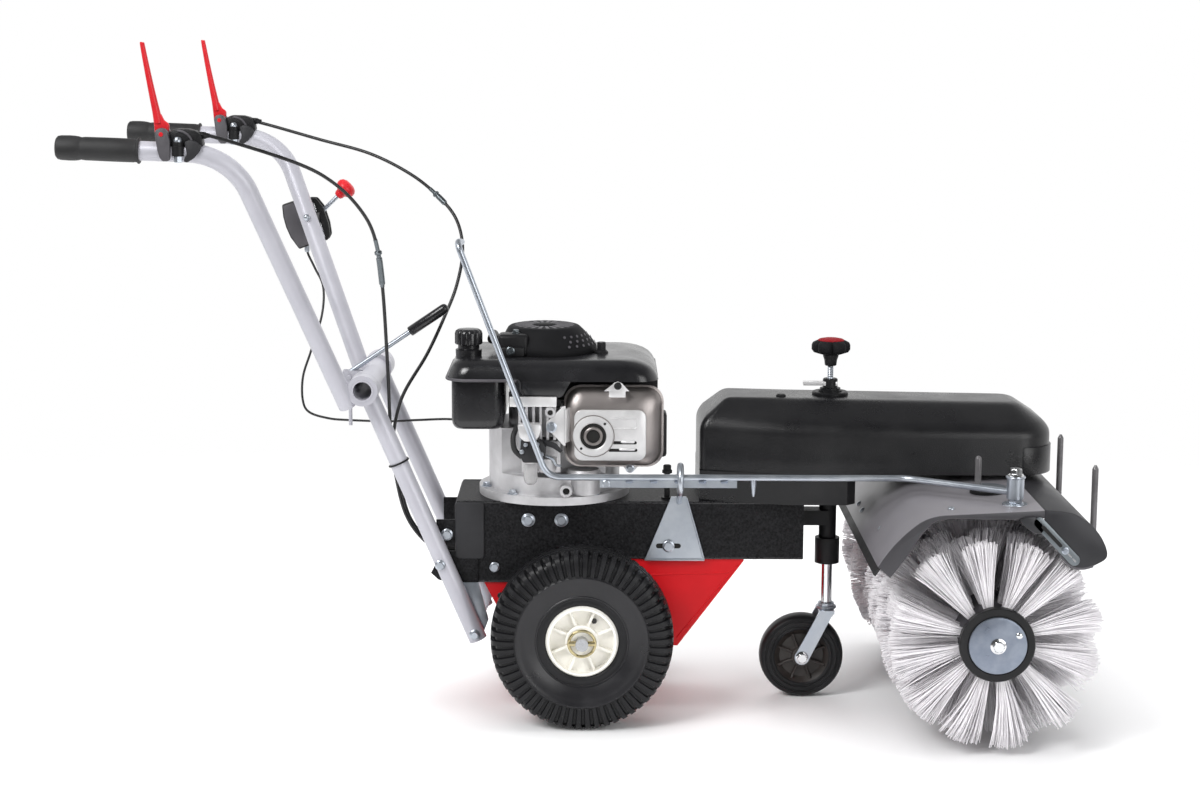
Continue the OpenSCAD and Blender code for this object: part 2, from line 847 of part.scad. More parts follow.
// Black sleeve that guides the caster stem, with its clamp collar
module caster_sleeve() {
  color("#161618") difference() {
    union() {
      post(caster_x, 0, sleeve_low + over, sleeve_top, sleeve_r);
      post(caster_x, 0, sleeve_low, collar_top, collar_r);
      translate([frame_front, -18, 290]) cube([caster_x - frame_front, 36, 24]);
    }
    post(caster_x, 0, sleeve_low - over, sleeve_top + over, stem_r + run_gap);
  }
}

// Belt loop around two pulleys on upright shafts
module belt(x0, r0, x1, r1, z) {
  inner = belt_gap;
  outer = belt_gap + belt_t;
  translate([0, 0, z]) linear_extrude(height = belt_w) difference() {
    belt_outline(x0, r0 + outer, x1, r1 + outer);
    belt_outline(x0, r0 + inner, x1, r1 + inner);
  }
}

// Closed outline around two circles
module belt_outline(x0, r0, x1, r1) {
  hull() {
    translate([x0, 0]) circle(r = r0);
    translate([x1, 0]) circle(r = r1);
  }
}

// Wheel belt, lower brush belt and upper brush belt
module drive_belts() {
  color("#0f0f10") {
    belt(crank_x, crank_pulley_r, worm_x, worm_pulley_r, wheel_belt_z);
    belt(crank_x, crank_brush_pulley_r, jack_x, jack_pulley_r, brush_belt_z);
    belt(jack_x, jack_top_pulley_r, pivot_x, jack_top_pulley_r, head_belt_z);
  }
}

// Wheel axle with the worm wheel
module axle_shaft() {
  color("#c3c8cf") difference() {
    union() {
      y_bar(axle_x, axle_z, -wheel_axle_end, wheel_axle_end, axle_r);
      y_bar(axle_x, axle_z, -worm_wheel_w / 2, worm_wheel_w / 2, worm_wheel_r);
    }
    for (side = [right, left])
      translate([axle_x - 2 * axle_r, side * linch_y, axle_z]) rotate([0, 90, 0])
        cylinder(h = 4 * axle_r, r = linch_r + seat_gap);
  }
}

// Air-filled tyre
module tyre(side) {
  wall = 11;
  bead_w = rim_w;
  shoulder = 14;
  bulge_r = (tyre_r + rim_r) / 2;
  color("#1a1a1c") translate([0, side * wheel_y, 0]) y_turned(axle_x, axle_z) rotate_extrude() difference() {
    polygon([
      [rim_r, -bead_w / 2], [rim_r + 8, -bead_w / 2 - 3], [bulge_r, -tyre_w / 2],
      [tyre_r - shoulder, -tyre_w / 2 + 3], [tyre_r - 3, -tread_w / 2], [tyre_r, -tread_w / 2 + 10],
      [tyre_r, tread_w / 2 - 10], [tyre_r - 3, tread_w / 2], [tyre_r - shoulder, tyre_w / 2 - 3],
      [bulge_r, tyre_w / 2], [rim_r + 8, bead_w / 2 + 3], [rim_r, bead_w / 2]
    ]);
    polygon([
      [rim_r + wall, -bead_w / 2 + wall], [bulge_r, -tyre_w / 2 + wall],
      [tyre_r - shoulder - 3, -tyre_w / 2 + wall + 6], [tyre_r - shoulder - 3, tyre_w / 2 - wall - 6],
      [bulge_r, tyre_w / 2 - wall], [rim_r + wall, bead_w / 2 - wall]
    ]);
  }
}

module tyre_right() {
  tyre(right);
}

module tyre_left() {
  tyre(left);
}

// Moulded rim with its web, ribs and hub
linch_r = 4;
module rim(side) {
  ribs = 8;
  web_t = 6;
  barrel_t = 6;
  lip = 5;
  barrel_r = rim_r - seat_gap;
  inner_end = wheel_y - rim_w / 2;
  rib_len = barrel_r - barrel_t - hub_r + 2;
  color("#efeadd") difference() {
    union() {
      mirror([0, side > 0 ? 0 : 1, 0]) y_turned(axle_x, axle_z) {
        translate([0, 0, inner_end]) rotate_extrude()
          polygon([
            [barrel_r - barrel_t, 0], [barrel_r, 0], [barrel_r, rim_w - lip], [barrel_r - 3, rim_w],
            [barrel_r - barrel_t, rim_w]
          ]);
        translate([0, 0, wheel_y]) cylinder(h = web_t, r = barrel_r - barrel_t / 2);
        translate([0, 0, inner_end]) cylinder(h = hub_end - inner_end, r = hub_r);
        for (i = [0 : ribs - 1])
          rotate((i + 0.5) * 360 / ribs) translate([hub_r - 1, -2, wheel_y])
            cube([rib_len, 4, rim_w / 2 - 10]);
      }
    }
    y_bar(axle_x, axle_z, -wheel_axle_end, wheel_axle_end, axle_r + seat_gap);
  }
}

module rim_right() {
  rim(right);
}

module rim_left() {
  rim(left);
}

// Linch pins through the axle ends, each with its spring ring
module linch_pins() {
  wire = 2.4;
  ring_r = 20.5;
  color("#c8b46a") for (side = [right, left]) {
    translate([axle_x - ring_r, side * linch_y, axle_z]) rotate([0, 90, 0])
      cylinder(h = 2 * ring_r, r = linch_r);
    translate([0, side * linch_y, 0]) y_turned(axle_x, axle_z)
      rotate_extrude() translate([ring_r, 0]) circle(r = wire);
  }
}

// Grooved belt pulley blank that a belt of belt_w runs on
module pulley(x, z, r) {
  flange = 3;
  rim = 3;
  post(x, 0, z - flange - side_gap, z + belt_w + flange + side_gap, r);
  post(x, 0, z - flange - side_gap, z - side_gap, r + rim);
  post(x, 0, z + belt_w + side_gap, z + belt_w + side_gap + flange, r + rim);
}

// Upright worm shaft with its pulley
module worm_shaft() {
  color("#8e9196") {
    post(worm_x, 0, carrier_low + carrier_t + side_gap, worm_top, worm_shaft_r);
    post(worm_x, 0, carrier_low + carrier_t + worm_boss_h + side_gap, axle_z + 30, worm_r);
    pulley(worm_x, wheel_belt_z, worm_pulley_r);
  }
}

// Crankshaft with its flywheel and the two drive pulleys
module crankshaft() {
  flywheel_z = shroud_split + 7;
  flywheel_t = 14;
  color("#8e9196") {
    post(crank_x, 0, brush_belt_z - 8, shroud_top + 10, crank_r);
    post(crank_x, 0, flywheel_z, flywheel_z + flywheel_t, flywheel_r);
    pulley(crank_x, wheel_belt_z, crank_pulley_r);
    pulley(crank_x, brush_belt_z, crank_brush_pulley_r);
  }
}

// Jackshaft that lifts the brush drive from the frame into the hood
module jackshaft() {
  color("#8e9196") {
    post(jack_x, 0, brush_belt_z - 8, head_belt_z + belt_w + 8, jack_r);
    pulley(jack_x, brush_belt_z, jack_pulley_r);
    pulley(jack_x, head_belt_z, jack_top_pulley_r);
  }
}

// Gearbox between the brush halves with the pivot column on top
module head_gearbox() {
  cavity_r = gearbox_r - gearbox_t;
  color("#2a2a2e") difference() {
    union() {
      y_bar(brush_x, brush_z, -gearbox_half, gearbox_half, gearbox_r);
      translate([brush_x - neck_half_x, -gearbox_half, brush_z])
        cube([2 * neck_half_x, 2 * gearbox_half, column_low + 4 - brush_z]);
      post(pivot_x, 0, column_low, column_top, column_r);
      post(pivot_x, 0, column_top - 4, column_top, column_r + 5);
    }
    y_bar(brush_x, brush_z, -gearbox_half + gearbox_t, gearbox_half - gearbox_t, cavity_r);
    y_bar(brush_x, brush_z, -gearbox_half - over, gearbox_half + over, shaft_r + run_gap);
    post(pivot_x, 0, brush_z, column_top + over, input_r + run_gap);
    post(pivot_x, 0, spigot_low - 2, column_top + over, spigot_r + run_gap);
  }
}

// Point on the bowed rear panel of the cover, from its lower edge (0) to its bend (1)
function panel_at(f) =
  let (along = cover_bend - cover_rear, out = unit([-along.y, along.x]))
  cover_rear + along * f + out * 4 * cover_bulge * f * (1 - f);

// Bent sheet cover over the brush with narrow end cheeks
module head_cover() {
  steps = 4;
  inward = unit([cover_bend.y - cover_rear.y, cover_rear.x - cover_bend.x]);
  panel = [for (i = [0 : steps]) panel_at(i / steps)];
  panel_in = [for (i = [steps - 1 : -1 : 0]) panel[i] + inward * cover_t];
  bend_in = cover_bend + [cover_t / 2, -cover_t];
  color("#55565b") difference() {
    union() {
      side_plate(-cover_half, cover_half)
        polygon(concat(panel, [cover_front, cover_front + cover_seam * cover_t, bend_in], panel_in));
      for (side = [right, left])
        side_plate(side > 0 ? cover_half - cover_t : -cover_half, side > 0 ? cover_half : -cover_half + cover_t)
          polygon(concat(panel, [
            cover_front, cover_front + cover_seam * lip_w, cover_bend + [lip_w / 2, -lip_w / 2],
            cover_rear + inward * cheek_w
          ]));
    }
    post(pivot_x, 0, cover_rear.y, cover_front.y + over, column_r + seat_gap);
  }
}

// Curved front flap with end cheeks and the plates of the bin pins
module front_flap() {
  outer = concat([cover_front], flap_pts);
  last = len(outer) - 1;
  inner = concat([cover_front + cover_seam * cover_t], [
    for (i = [1 : last])
      let (d = unit(outer[min(i + 1, last)] - outer[i - 1])) outer[i] + [d.y, -d.x] * cover_t
  ]);
  cheek_edge = [for (d = [[57, -89], [44, -86], [30, -73], [3, -37]]) cover_front + d];
  rail_y = 30;
  lip = outer[last - 1] - outer[last];
  web_rear = outer[last] + lip * 0.1 + [0, cover_t / 2];
  web_front = outer[last] + lip * 0.7 + [0, cover_t / 2];
  color("#3b3c40") {
    side_plate(-cover_half, cover_half)
      polygon(concat(outer, [for (i = [last : -1 : 0]) inner[i]]));
    for (side = [right, left]) {
      side_plate(side > 0 ? cover_half - cover_t : -cover_half, side > 0 ? cover_half : -cover_half + cover_t)
        polygon(concat(outer, cheek_edge, [cover_front + cover_seam * flap_cheek_w]));
      side_plate(side * bin_y - rail_y / 2, side * bin_y + rail_y / 2)
        polygon([[web_rear.x, bin_plate_z + over], web_rear, web_front, [web_front.x, bin_plate_z + over]]);
      difference() {
        translate([web_rear.x, side * bin_y - rail_y / 2, bin_plate_z])
          cube([bin_x + 12 - web_rear.x, rail_y, bin_plate_t]);
        post(bin_x, side * bin_y, bin_plate_z - over, bin_plate_z + bin_plate_t + over, pin_r + seat_gap);
      }
    }
  }
}

// Upright pins that carry a collecting bin
module bin_pins() {
  flange_r = 11;
  tip = 6;
  color("#3f4045") for (side = [right, left]) {
    post(bin_x, side * bin_y, bin_low, bin_top - tip, pin_r);
    post(bin_x, side * bin_y, bin_plate_z + bin_plate_t, bin_plate_z + bin_plate_t + bin_flange_t, flange_r);
    translate([bin_x, side * bin_y, bin_top - tip]) cylinder(h = tip, r1 = pin_r, r2 = pin_r * 0.4);
    translate([bin_x, side * bin_y, bin_plate_z - 7]) cylinder(h = 7, r = 9, $fn = 6);
  }
}

// Rubber strip along the rear lower edge of the cover
module rear_strip() {
  t = 4;
  grip = 22;
  drop = 14;
  panel = unit(panel_at(0.25) - cover_rear);
  inward = [panel.y, -panel.x];
  p = cover_rear + inward * (cover_t + 2 * seat_gap);
  color("#222224") side_plate(-cover_half + 4, cover_half - 4)
    polygon([p - panel * drop, p + panel * grip, p + panel * grip + inward * t, p - panel * drop + inward * t]);
}

// Bolt with its sleeve on the cover, where the steering rod pulls
module steering_pivot() {
  seat_lift = 1.2;
  slope = (cover_front.y - cover_bend.y) / (cover_front.x - cover_bend.x);
  seat_z = cover_bend.y + (bolt_x - cover_bend.x) * slope;
  color("#c3c8cf") {
    translate([bolt_x, bolt_y, seat_z + seat_lift]) bolt_head(14, 11, sleeve_z0 - 1 - seat_z - seat_lift);
    post(bolt_x, bolt_y, sleeve_z0 - 2, sleeve_z1 + 2, 7);
    post(bolt_x, bolt_y, sleeve_z1 + side_gap, sleeve_z1 + 3, 14);
    translate([bolt_x, bolt_y, sleeve_z1 + 2]) cylinder(h = 13, r = 10, $fn = 6);
  }
}

// Upright drive shaft of the head with its pulley and bevel pinion
module input_shaft() {
  color("#8e9196") {
    post(pivot_x, 0, brush_z + pinion_back_z - over, head_belt_z + belt_w + 8, input_r);
    translate([pivot_x, 0, brush_z + pinion_front_z])
      cylinder(
        h = pinion_back_z - pinion_front_z, r1 = pinion_cone_r * pinion_front_z / pinion_back_z - side_gap,
        r2 = pinion_cone_r - side_gap);
    pulley(pivot_x, head_belt_z, jack_top_pulley_r);
  }
}

// Brush shaft with the bevel gear and the two core tubes
module brush_shaft() {
  gear_back = 3;
  gear_front_y = gear_cone_y * pinion_front_z / pinion_back_z;
  color("#8e9196") {
    y_bar(brush_x, brush_z, -brush_half, brush_half, shaft_r);
    y_bar(brush_x, brush_z, -gear_cone_y - gear_back, -gear_cone_y, gear_cone_r - side_gap);
    mirror([0, 1, 0]) y_turned(brush_x, brush_z) translate([0, 0, gear_front_y])
      cylinder(
        h = gear_cone_y - gear_front_y, r1 = pinion_front_z - side_gap - 1, r2 = gear_cone_r - side_gap - 1);
    for (side = [right, left])
      y_bar(brush_x, brush_z, side > 0 ? brush_gap : -brush_half, side > 0 ? brush_half : -brush_gap, core_r);
  }
}

// One bristle strand from the backing to the tip, along X at angle 0
module strand(y0, y1) {
  base = 2.2;
  tip = 3.2;
  foot = backing_r - 2;
  polyhedron(
    points = [
      [foot, -base, y0 - base], [foot, base, y0 - base], [foot, base, y0 + base], [foot, -base, y0 + base],
      [brush_r, -tip, y1 - tip], [brush_r, tip, y1 - tip], [brush_r, tip, y1 + tip], [brush_r, -tip, y1 + tip]
    ],
    faces = [
      [0, 1, 2], [0, 2, 3], [4, 6, 5], [4, 7, 6], [0, 4, 5], [0, 5, 1], [1, 5, 6], [1, 6, 2], [2, 6, 7], [2, 7, 3],
      [3, 7, 4], [3, 4, 0]
    ]
  );
}

// Rings of tufts of two splayed strands on a thin backing tube
module bristles(side) {
  margin = 14;
  root = 4;
  splay = 8;
  pitch = (brush_half - brush_gap - 2 * margin) / (tuft_rings - 1);
  color("#ece9ee") mirror([0, side > 0 ? 0 : 1, 0]) y_turned(brush_x, brush_z) resize([0, 0, 0]) union() {
    translate([0, 0, brush_gap]) difference() {
      cylinder(h = brush_half - brush_gap, r = backing_r);
      translate([0, 0, -over]) cylinder(h = brush_half - brush_gap + 2 * over, r = core_r + side_gap);
    }
    for (i = [0 : tuft_rings - 1], k = [0 : tufts - 1], s = [-1, 1])
      rotate((k + (i % 2) / 2) * 360 / tufts)
        strand(brush_gap + margin + i * pitch + s * root, brush_gap + margin + i * pitch + s * splay);
  }
}

module bristles_right() {
  bristles(right);
}

module bristles_left() {
  bristles(left);
}

// End ring, disc and bolt on both ends of the brush
module brush_end_rings() {
  disc_t = 3;
  color("#1a1a1c") for (side = [right, left])
    mirror([0, side > 0 ? 0 : 1, 0]) y_turned(brush_x, brush_z) {
      translate([0, 0, brush_half]) cylinder(h = end_ring_w, r = end_ring_r);
      translate([0, 0, brush_half + end_ring_w - over]) cylinder(h = disc_t + over, r = end_disc_r);
      translate([0, 0, brush_half + end_ring_w + disc_t]) bolt_head(14, 9, 8);
    }
}

// Steering rod with its upright, notched bar and eye on the pivot bolt
module steering_rod() {
  top = [-209, -rod_y, 765];
  curl = top + [6, 32, -4];
  bend_a = [-70, -rod_y, rod_z];
  bend_b = [490, -rod_y, rod_z];
  eye = [bolt_x, bolt_y, rod_z + 4];
  notch_x0 = 12;
  notch_x1 = 226;
  eye_end = eye + unit(bend_b - eye) * 11;
  cut_t = bend_cut(bend_a, top, curl, 14) - lap;
  cut_a = bend_cut(top, bend_a, bend_b, 30) - lap;
  cut_b = bend_cut(bend_a, bend_b, eye_end, 40) - lap;
  color("#c3c8cf") difference() {
    union() {
      bar(curl, top + unit(curl - top) * cut_t, rod_r);
      bend(bend_a, top, curl, rod_r + swell, 14);
      bar(top + unit(bend_a - top) * cut_t, bend_a + unit(top - bend_a) * cut_a, rod_r);
      bend(top, bend_a, bend_b, rod_r + swell, 30);
      bar(bend_a + unit(bend_b - bend_a) * cut_a, bend_b - unit(bend_b - bend_a) * cut_b, rod_r);
      bend(bend_a, bend_b, eye_end, rod_r + swell, 40);
      bar(bend_b + unit(eye_end - bend_b) * cut_b, eye_end, rod_r);
      translate([notch_x0, -rod_y - 2, rod_z - rod_r - 11]) cube([notch_x1 - notch_x0, 4, 13]);
      post(bolt_x, bolt_y, sleeve_z0, sleeve_z1, 13);
    }
    post(bolt_x, bolt_y, sleeve_z0 - over, sleeve_z1 + over, 7 + run_gap);
  }
}

// Cross tube on the tilt axis with the lug of the lock lever
module cross_tube() {
  half = upper_y + tube_r;
  ear = 4;
  slot = 5;
  pin = 4;
  rod_r = 3;
  color("#c9c9cd") difference() {
    union() {
      y_bar(tilt_x, tilt_z, -half, half, cross_r);
      for (side = [right, left])
        side_plate(side > 0 ? slot : -slot - ear, side > 0 ? slot + ear : -slot)
          polygon([
            [lug_x - 10, lug_z - 12], [tilt_x, tilt_z - 10], [tilt_x, tilt_z + 10], [lug_x - 10, lug_z + 10]
          ]);
      y_bar(lug_x, lug_z, -slot - ear - 3, slot + ear + 3, pin);
      post(lug_x, slot + rod_r + seat_gap, lug_z - 82, lug_z, rod_r);
    }
    y_bar(tilt_x, tilt_z, -half - over, half + over, cross_r - tube_t - 1);
  }
}

// Bent upper handle tube with its ring around the cross tube
module upper_tube(side) {
  foot = [upper_foot.x, side * upper_y, upper_foot.y];
  corner = [corner_x, side * grip_y, corner_z];
  tail = [grip_rear + 4, side * grip_y, grip_z];
  cut = bend_cut(foot, corner, tail, bend_r) - lap;
  color("#c9c9cd") difference() {
    union() {
      pipe(foot, corner - unit(corner - foot) * cut, tube_r, tube_t);
      bend(foot, corner, tail, tube_r + swell, bend_r, tube_t + 2 * swell);
      pipe(corner + unit(tail - corner) * cut, tail, tube_r, tube_t);
      y_bar(tilt_x, tilt_z, side * upper_y - tube_r + 0.5, side * upper_y + tube_r - 0.5, ring_r);
    }
    y_bar(tilt_x, tilt_z, side * upper_y - 2 * tube_r, side * upper_y + 2 * tube_r, cross_r + seat_gap);
  }
}

module upper_tube_right() {
  upper_tube(right);
}

module upper_tube_left() {
  upper_tube(left);
}

// Height of the handle tube's straight rear run at a place along X
function tail_z(x) = corner_z + (grip_z - corner_z) * (corner_x - x) / (corner_x - grip_rear - 4);

// Rubber grips on the ends of the handle tubes
module grips() {
  end_cap = 3;
  flange = 2;
  color("#161618") for (side = [right, left]) {
    front = [grip_front, side * grip_y, tail_z(grip_front)];
    rear = [grip_rear, side * grip_y, tail_z(grip_rear)];
    difference() {
      along(front, rear) {
        cylinder(h = norm(rear - front), r = grip_r);
        cylinder(h = 2 * flange, r = grip_r + flange);
        translate([0, 0, norm(rear - front) - 12]) cylinder(h = 12, r = grip_r + 1.5);
      }
      along(front, rear) translate([0, 0, -over])
        cylinder(h = norm(rear - front) - end_cap + over, r = tube_r + seat_gap);
    }
  }
}

// Clamp brackets of the squeeze levers with their cable barrels
module lever_brackets() {
  ear_in = lever_t / 2 + side_gap;
  ear_t = 5;
  ear_x0 = lever_x - 14;
  ear_x1 = lever_x + 14;
  ring = 5;
  barrel_z = 931;
  color("#1d1d20") for (side = [right, left]) {
    y = side * grip_y;
    a = [bracket_x0, y, tail_z(bracket_x0)];
    b = [bracket_x1, y, tail_z(bracket_x1)];
    difference() {
      union() {
        bar(a, b, tube_r + ring);
        for (e = [-1, 1])
          translate([ear_x0, y + e * (ear_in + ear_t / 2) - ear_t / 2, a.z])
            cube([ear_x1 - ear_x0, ear_t, lever_z + 10 - a.z]);
        translate([lever_x + 14, y - 9, a.z + tube_r]) cube([24, 18, barrel_z + 8 - a.z - tube_r]);
      }
      along(a, b) translate([0, 0, -over]) cylinder(h = norm(b - a) + 2 * over, r = tube_r + seat_gap);
      translate([ear_x0 - over, y - ear_in, lever_z - lever_base_r - 2])
        cube([ear_x1 - ear_x0 + over, 2 * ear_in, 60]);
    }
    y_bar(lever_x, lever_z, y - ear_in - ear_t, y + ear_in + ear_t, pivot_pin_r);
  }
}

// Squeeze lever standing up from its pivot
module lever(side) {
  y = side * grip_y;
  root = 9;
  tip = 4;
  color("#d8131d") difference() {
    side_plate(y - lever_t / 2, y + lever_t / 2) union() {
      translate([lever_x, lever_z]) circle(r = lever_base_r);
      polygon([
        [lever_x - root, lever_z + 2], [lever_x + root, lever_z - 2],
        [lever_x + lever_tip_dx / 2 + root * 0.6, lever_z + lever_l / 2],
        [lever_x + lever_tip_dx + tip, lever_z + lever_l], [lever_x + lever_tip_dx - tip, lever_z + lever_l - 2]
      ]);
    }
    y_bar(lever_x, lever_z, y - lever_t, y + lever_t, pivot_pin_r + run_gap);
  }
}

module lever_right() {
  lever(right);
}

module lever_left() {
  lever(left);
}

// Point on the axis of the left upper tube at a height
function upper_at(z) =
  let (f = (z - upper_foot.y) / (corner_z - upper_foot.y))
  [upper_foot.x + (corner_x - upper_foot.x) * f, upper_y + (grip_y - upper_y) * f, z];

// Throttle housing on the outside of the left handle tube
module throttle_box() {
  clamp_z0 = 736;
  clamp_z1 = 762;
  a = upper_at(clamp_z0);
  b = upper_at(clamp_z1);
  y0 = throttle_y - throttle_half;
  y1 = throttle_y + throttle_half;
  slot = throttle_half - throttle_cheek;
  color("#47484c") {
    difference() {
      union() {
        side_plate(y0, y1) polygon([
          [throttle_x - 2, 716], [throttle_x + 10, 738], [throttle_x + 12, 776], [throttle_x - 4, 800],
          [throttle_x - 38, 802], [throttle_x - 50, 786], [throttle_x - 46, 756], [throttle_x - 30, 722]
        ]);
        bar(a, b, tube_r + 5);
        translate([a.x - 14, a.y + 8, clamp_z0]) cube([28, y0 + over - a.y - 8, clamp_z1 - clamp_z0]);
      }
      along(a, b) translate([0, 0, -40]) cylinder(h = 110, r = tube_r + seat_gap);
      y_bar(throttle_x, throttle_z, throttle_y - slot, throttle_y + slot, throttle_hub_r + 1);
      translate([throttle_x, throttle_y - slot, throttle_z - throttle_hub_r - 12])
        cube([60, 2 * slot, 2 * throttle_hub_r + 46]);
    }
    y_bar(throttle_x, throttle_z, y0 + 1, y1 - 1, pivot_pin_r);
    post(-496, throttle_y, 709, 730, 4);
  }
}

// Throttle lever with its red knob
module throttle_lever() {
  half = throttle_half - throttle_cheek - side_gap;
  knob = [-431, throttle_y, 811];
  root = [throttle_x, throttle_y, throttle_z];
  dir = unit(knob - root);
  color("#d8131d") difference() {
    union() {
      y_bar(throttle_x, throttle_z, throttle_y - half, throttle_y + half, throttle_hub_r);
      bar(root, knob, 4);
      along(knob - dir * 9, knob + dir) cylinder(h = 10, r1 = 6, r2 = 15);
      along(knob, knob + dir) cylinder(h = 8, r = 15.5);
    }
    y_bar(throttle_x, throttle_z, throttle_y - 2 * half, throttle_y + 2 * half, pivot_pin_r + run_gap);
  }
}

// Lever that locks the handle tilt
module lock_lever() {
  root = [lug_x, 0, lug_z];
  tip = [lock_tip.x, 0, lock_tip.y];
  dir = unit(tip - root);
  grip_l = 72;
  lift = [0, 0, 6];
  hub = 9;
  half = 4.5;
  bar_r = 4;
  color("#c3c8cf") difference() {
    union() {
      y_bar(lug_x, lug_z, -half, half, hub);
      bar(root + lift, tip + lift - dir * grip_l, bar_r);
      bar(tip + lift - dir * (grip_l + 4), tip + lift, 9);
    }
    y_bar(lug_x, lug_z, -2 * half, 2 * half, 4 + run_gap);
  }
}

// Star knob on the threaded spindle of the caster
module caster_knob() {
  low = 300;
  base_z = hood_top + 44;
  lobes = 6;
  color("#161618") {
    post(caster_x, 0, low, base_z + 4, spindle_r);
    post(caster_x, 0, base_z, base_z + 22, 12);
    post(caster_x, 0, base_z + 20, base_z + 40, knob_r - 6);
    for (i = [0 : lobes - 1])
      rotate_about(caster_x, i * 360 / lobes) post(caster_x + knob_r - 9, 0, base_z + 20, base_z + 40, 9);
    post(caster_x, 0, base_z + 39, base_z + 46, knob_r - 8);
  }
}

// Turns a shape about an upright axis
module rotate_about(x, angle) {
  translate([x, 0, 0]) rotate(angle) translate([-x, 0, 0]) children();
}

// Lock lever on the spindle above the hood
module caster_lock() {
  z = hood_top + 13;
  t = 6;
  color("#c3c8cf") difference() {
    union() {
      post(caster_x, 0, z - 5, z + t + 4, 11);
      translate([caster_x - 44, -5, z]) cube([44, 10, t]);
    }
    post(caster_x, 0, z - 5 - over, z + t + 4 + over, spindle_r + run_gap);
  }
}

// Hollow stem that slides in the sleeve
module caster_stem() {
  color("#d5d8dc") difference() {
    union() {
      post(caster_x, 0, crown_top + side_gap, stem_top, stem_r);
      post(caster_x, 0, crown_top - crown_pin, crown_top + over, crown_pin_r);
    }
    post(caster_x, 0, stem_bore_low, stem_top + over, spindle_r + 0.3);
  }
}

// Zinc fork that trails behind the stem
module caster_fork() {
  axle = [caster_x - caster_trail, caster_r];
  crown_low = crown_top - crown_h;
  cheek_in = caster_w / 2 + 2;
  color("#c3c8cf") {
    difference() {
      union() {
        post(caster_x, 0, crown_low, crown_top, crown_r);
        translate([caster_x - crown_r, -cheek_in - fork_t, crown_top - 6])
          cube([2 * crown_r, 2 * (cheek_in + fork_t), 6]);
        for (side = [right, left])
          side_plate(side > 0 ? cheek_in : -cheek_in - fork_t, side > 0 ? cheek_in + fork_t : -cheek_in) union() {
            polygon([
              [caster_x - crown_r, crown_top], [caster_x + crown_r, crown_top], [axle.x + 11, axle.y - 4],
              [axle.x - 11, axle.y + 4]
            ]);
            translate(axle) circle(r = 12);
          }
      }
      post(caster_x, 0, crown_top - crown_pin - side_gap, crown_top + over, crown_pin_r + run_gap);
    }
    y_bar(axle.x, axle.y, -cheek_in - fork_t - 5, cheek_in + fork_t + 5, caster_axle_r);
  }
}

// Caster wheel with its rubber tread
module caster_wheel() {
  hub_half = caster_w / 2 + 1.5;
  color("#1a1a1c") y_turned(caster_x - caster_trail, caster_r) rotate_extrude() polygon([
    [caster_axle_r + run_gap, -hub_half], [16, -hub_half], [20, -8], [42, -8], [44, -caster_w / 2 + 4],
    [caster_r - 7, -caster_w / 2], [caster_r, -caster_w / 2 + 9], [caster_r, caster_w / 2 - 9],
    [caster_r - 7, caster_w / 2], [44, caster_w / 2 - 4], [42, 8], [20, 8], [16, hub_half],
    [caster_axle_r + run_gap, hub_half]
  ]);
}

// Control cables from the squeeze levers to the rear of the frame
module lever_cables() {
  color("#161618") {
    cable(right_route, cable_r);
    cable(left_route, cable_r);
  }
}

// Throttle cable from the housing to the engine
module throttle_cable() {
  color("#161618") cable(throttle_route, throttle_cable_r);
}

frame_box();
axle_carrier();
bearings();
rear_cover();
fasteners();
engine_block();
engine_shroud();
recoil_cover();
starter_grip();
fuel_tank();
fuel_cap();
muffler();
carburettor();
hood();
boom();
lower_tube_right();
lower_tube_left();
handle_brackets();
rod_guide();
caster_sleeve();
drive_belts();
axle_shaft();
tyre_right();
tyre_left();
rim_right();
rim_left();
linch_pins();
worm_shaft();
crankshaft();
jackshaft();
head_gearbox();
head_cover();
front_flap();
bin_pins();
rear_strip();
steering_pivot();
input_shaft();
brush_shaft();
bristles_right();
bristles_left();
brush_end_rings();
steering_rod();
cross_tube();
upper_tube_right();
upper_tube_left();
grips();
lever_brackets();
throttle_box();
lever_right();
lever_left();
throttle_lever();
lock_lever();
caster_knob();
caster_lock();
caster_stem();
caster_fork();
caster_wheel();
lever_cables();
throttle_cable();
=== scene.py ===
import math
import random

import bmesh
import bpy
from mathutils import Matrix, Vector


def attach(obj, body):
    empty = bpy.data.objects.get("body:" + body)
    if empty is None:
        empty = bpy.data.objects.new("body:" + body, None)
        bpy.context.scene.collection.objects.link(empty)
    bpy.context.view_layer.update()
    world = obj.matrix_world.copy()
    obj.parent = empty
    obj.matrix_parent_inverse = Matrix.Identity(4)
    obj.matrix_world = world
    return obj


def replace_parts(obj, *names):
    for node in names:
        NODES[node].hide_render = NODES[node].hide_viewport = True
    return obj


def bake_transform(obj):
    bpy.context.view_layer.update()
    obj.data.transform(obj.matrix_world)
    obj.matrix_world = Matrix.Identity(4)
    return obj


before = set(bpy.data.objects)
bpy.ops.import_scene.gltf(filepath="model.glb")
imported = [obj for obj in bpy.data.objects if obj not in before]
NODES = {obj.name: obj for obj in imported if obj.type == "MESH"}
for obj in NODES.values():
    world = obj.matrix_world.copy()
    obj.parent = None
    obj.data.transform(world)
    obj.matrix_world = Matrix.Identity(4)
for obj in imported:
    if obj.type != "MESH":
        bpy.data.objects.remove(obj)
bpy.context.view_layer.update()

SCENE = bpy.context.scene
MM = 0.001
TURN = 2 * math.pi
RIGHT, LEFT = -1, 1
SIDES = ((RIGHT, "right"), (LEFT, "left"))
UP, ACROSS, TO_RIGHT = (0, 0, 1), (0, 1, 0), (0, -1, 0)
WHITE = (1, 1, 1, 1)


# Shader nodes
def set_inputs(node, values):
    """Constants on a node's sockets; underscores in the names stand for spaces."""
    for key, value in values.items():
        node.inputs[key.replace("_", " ")].default_value = value


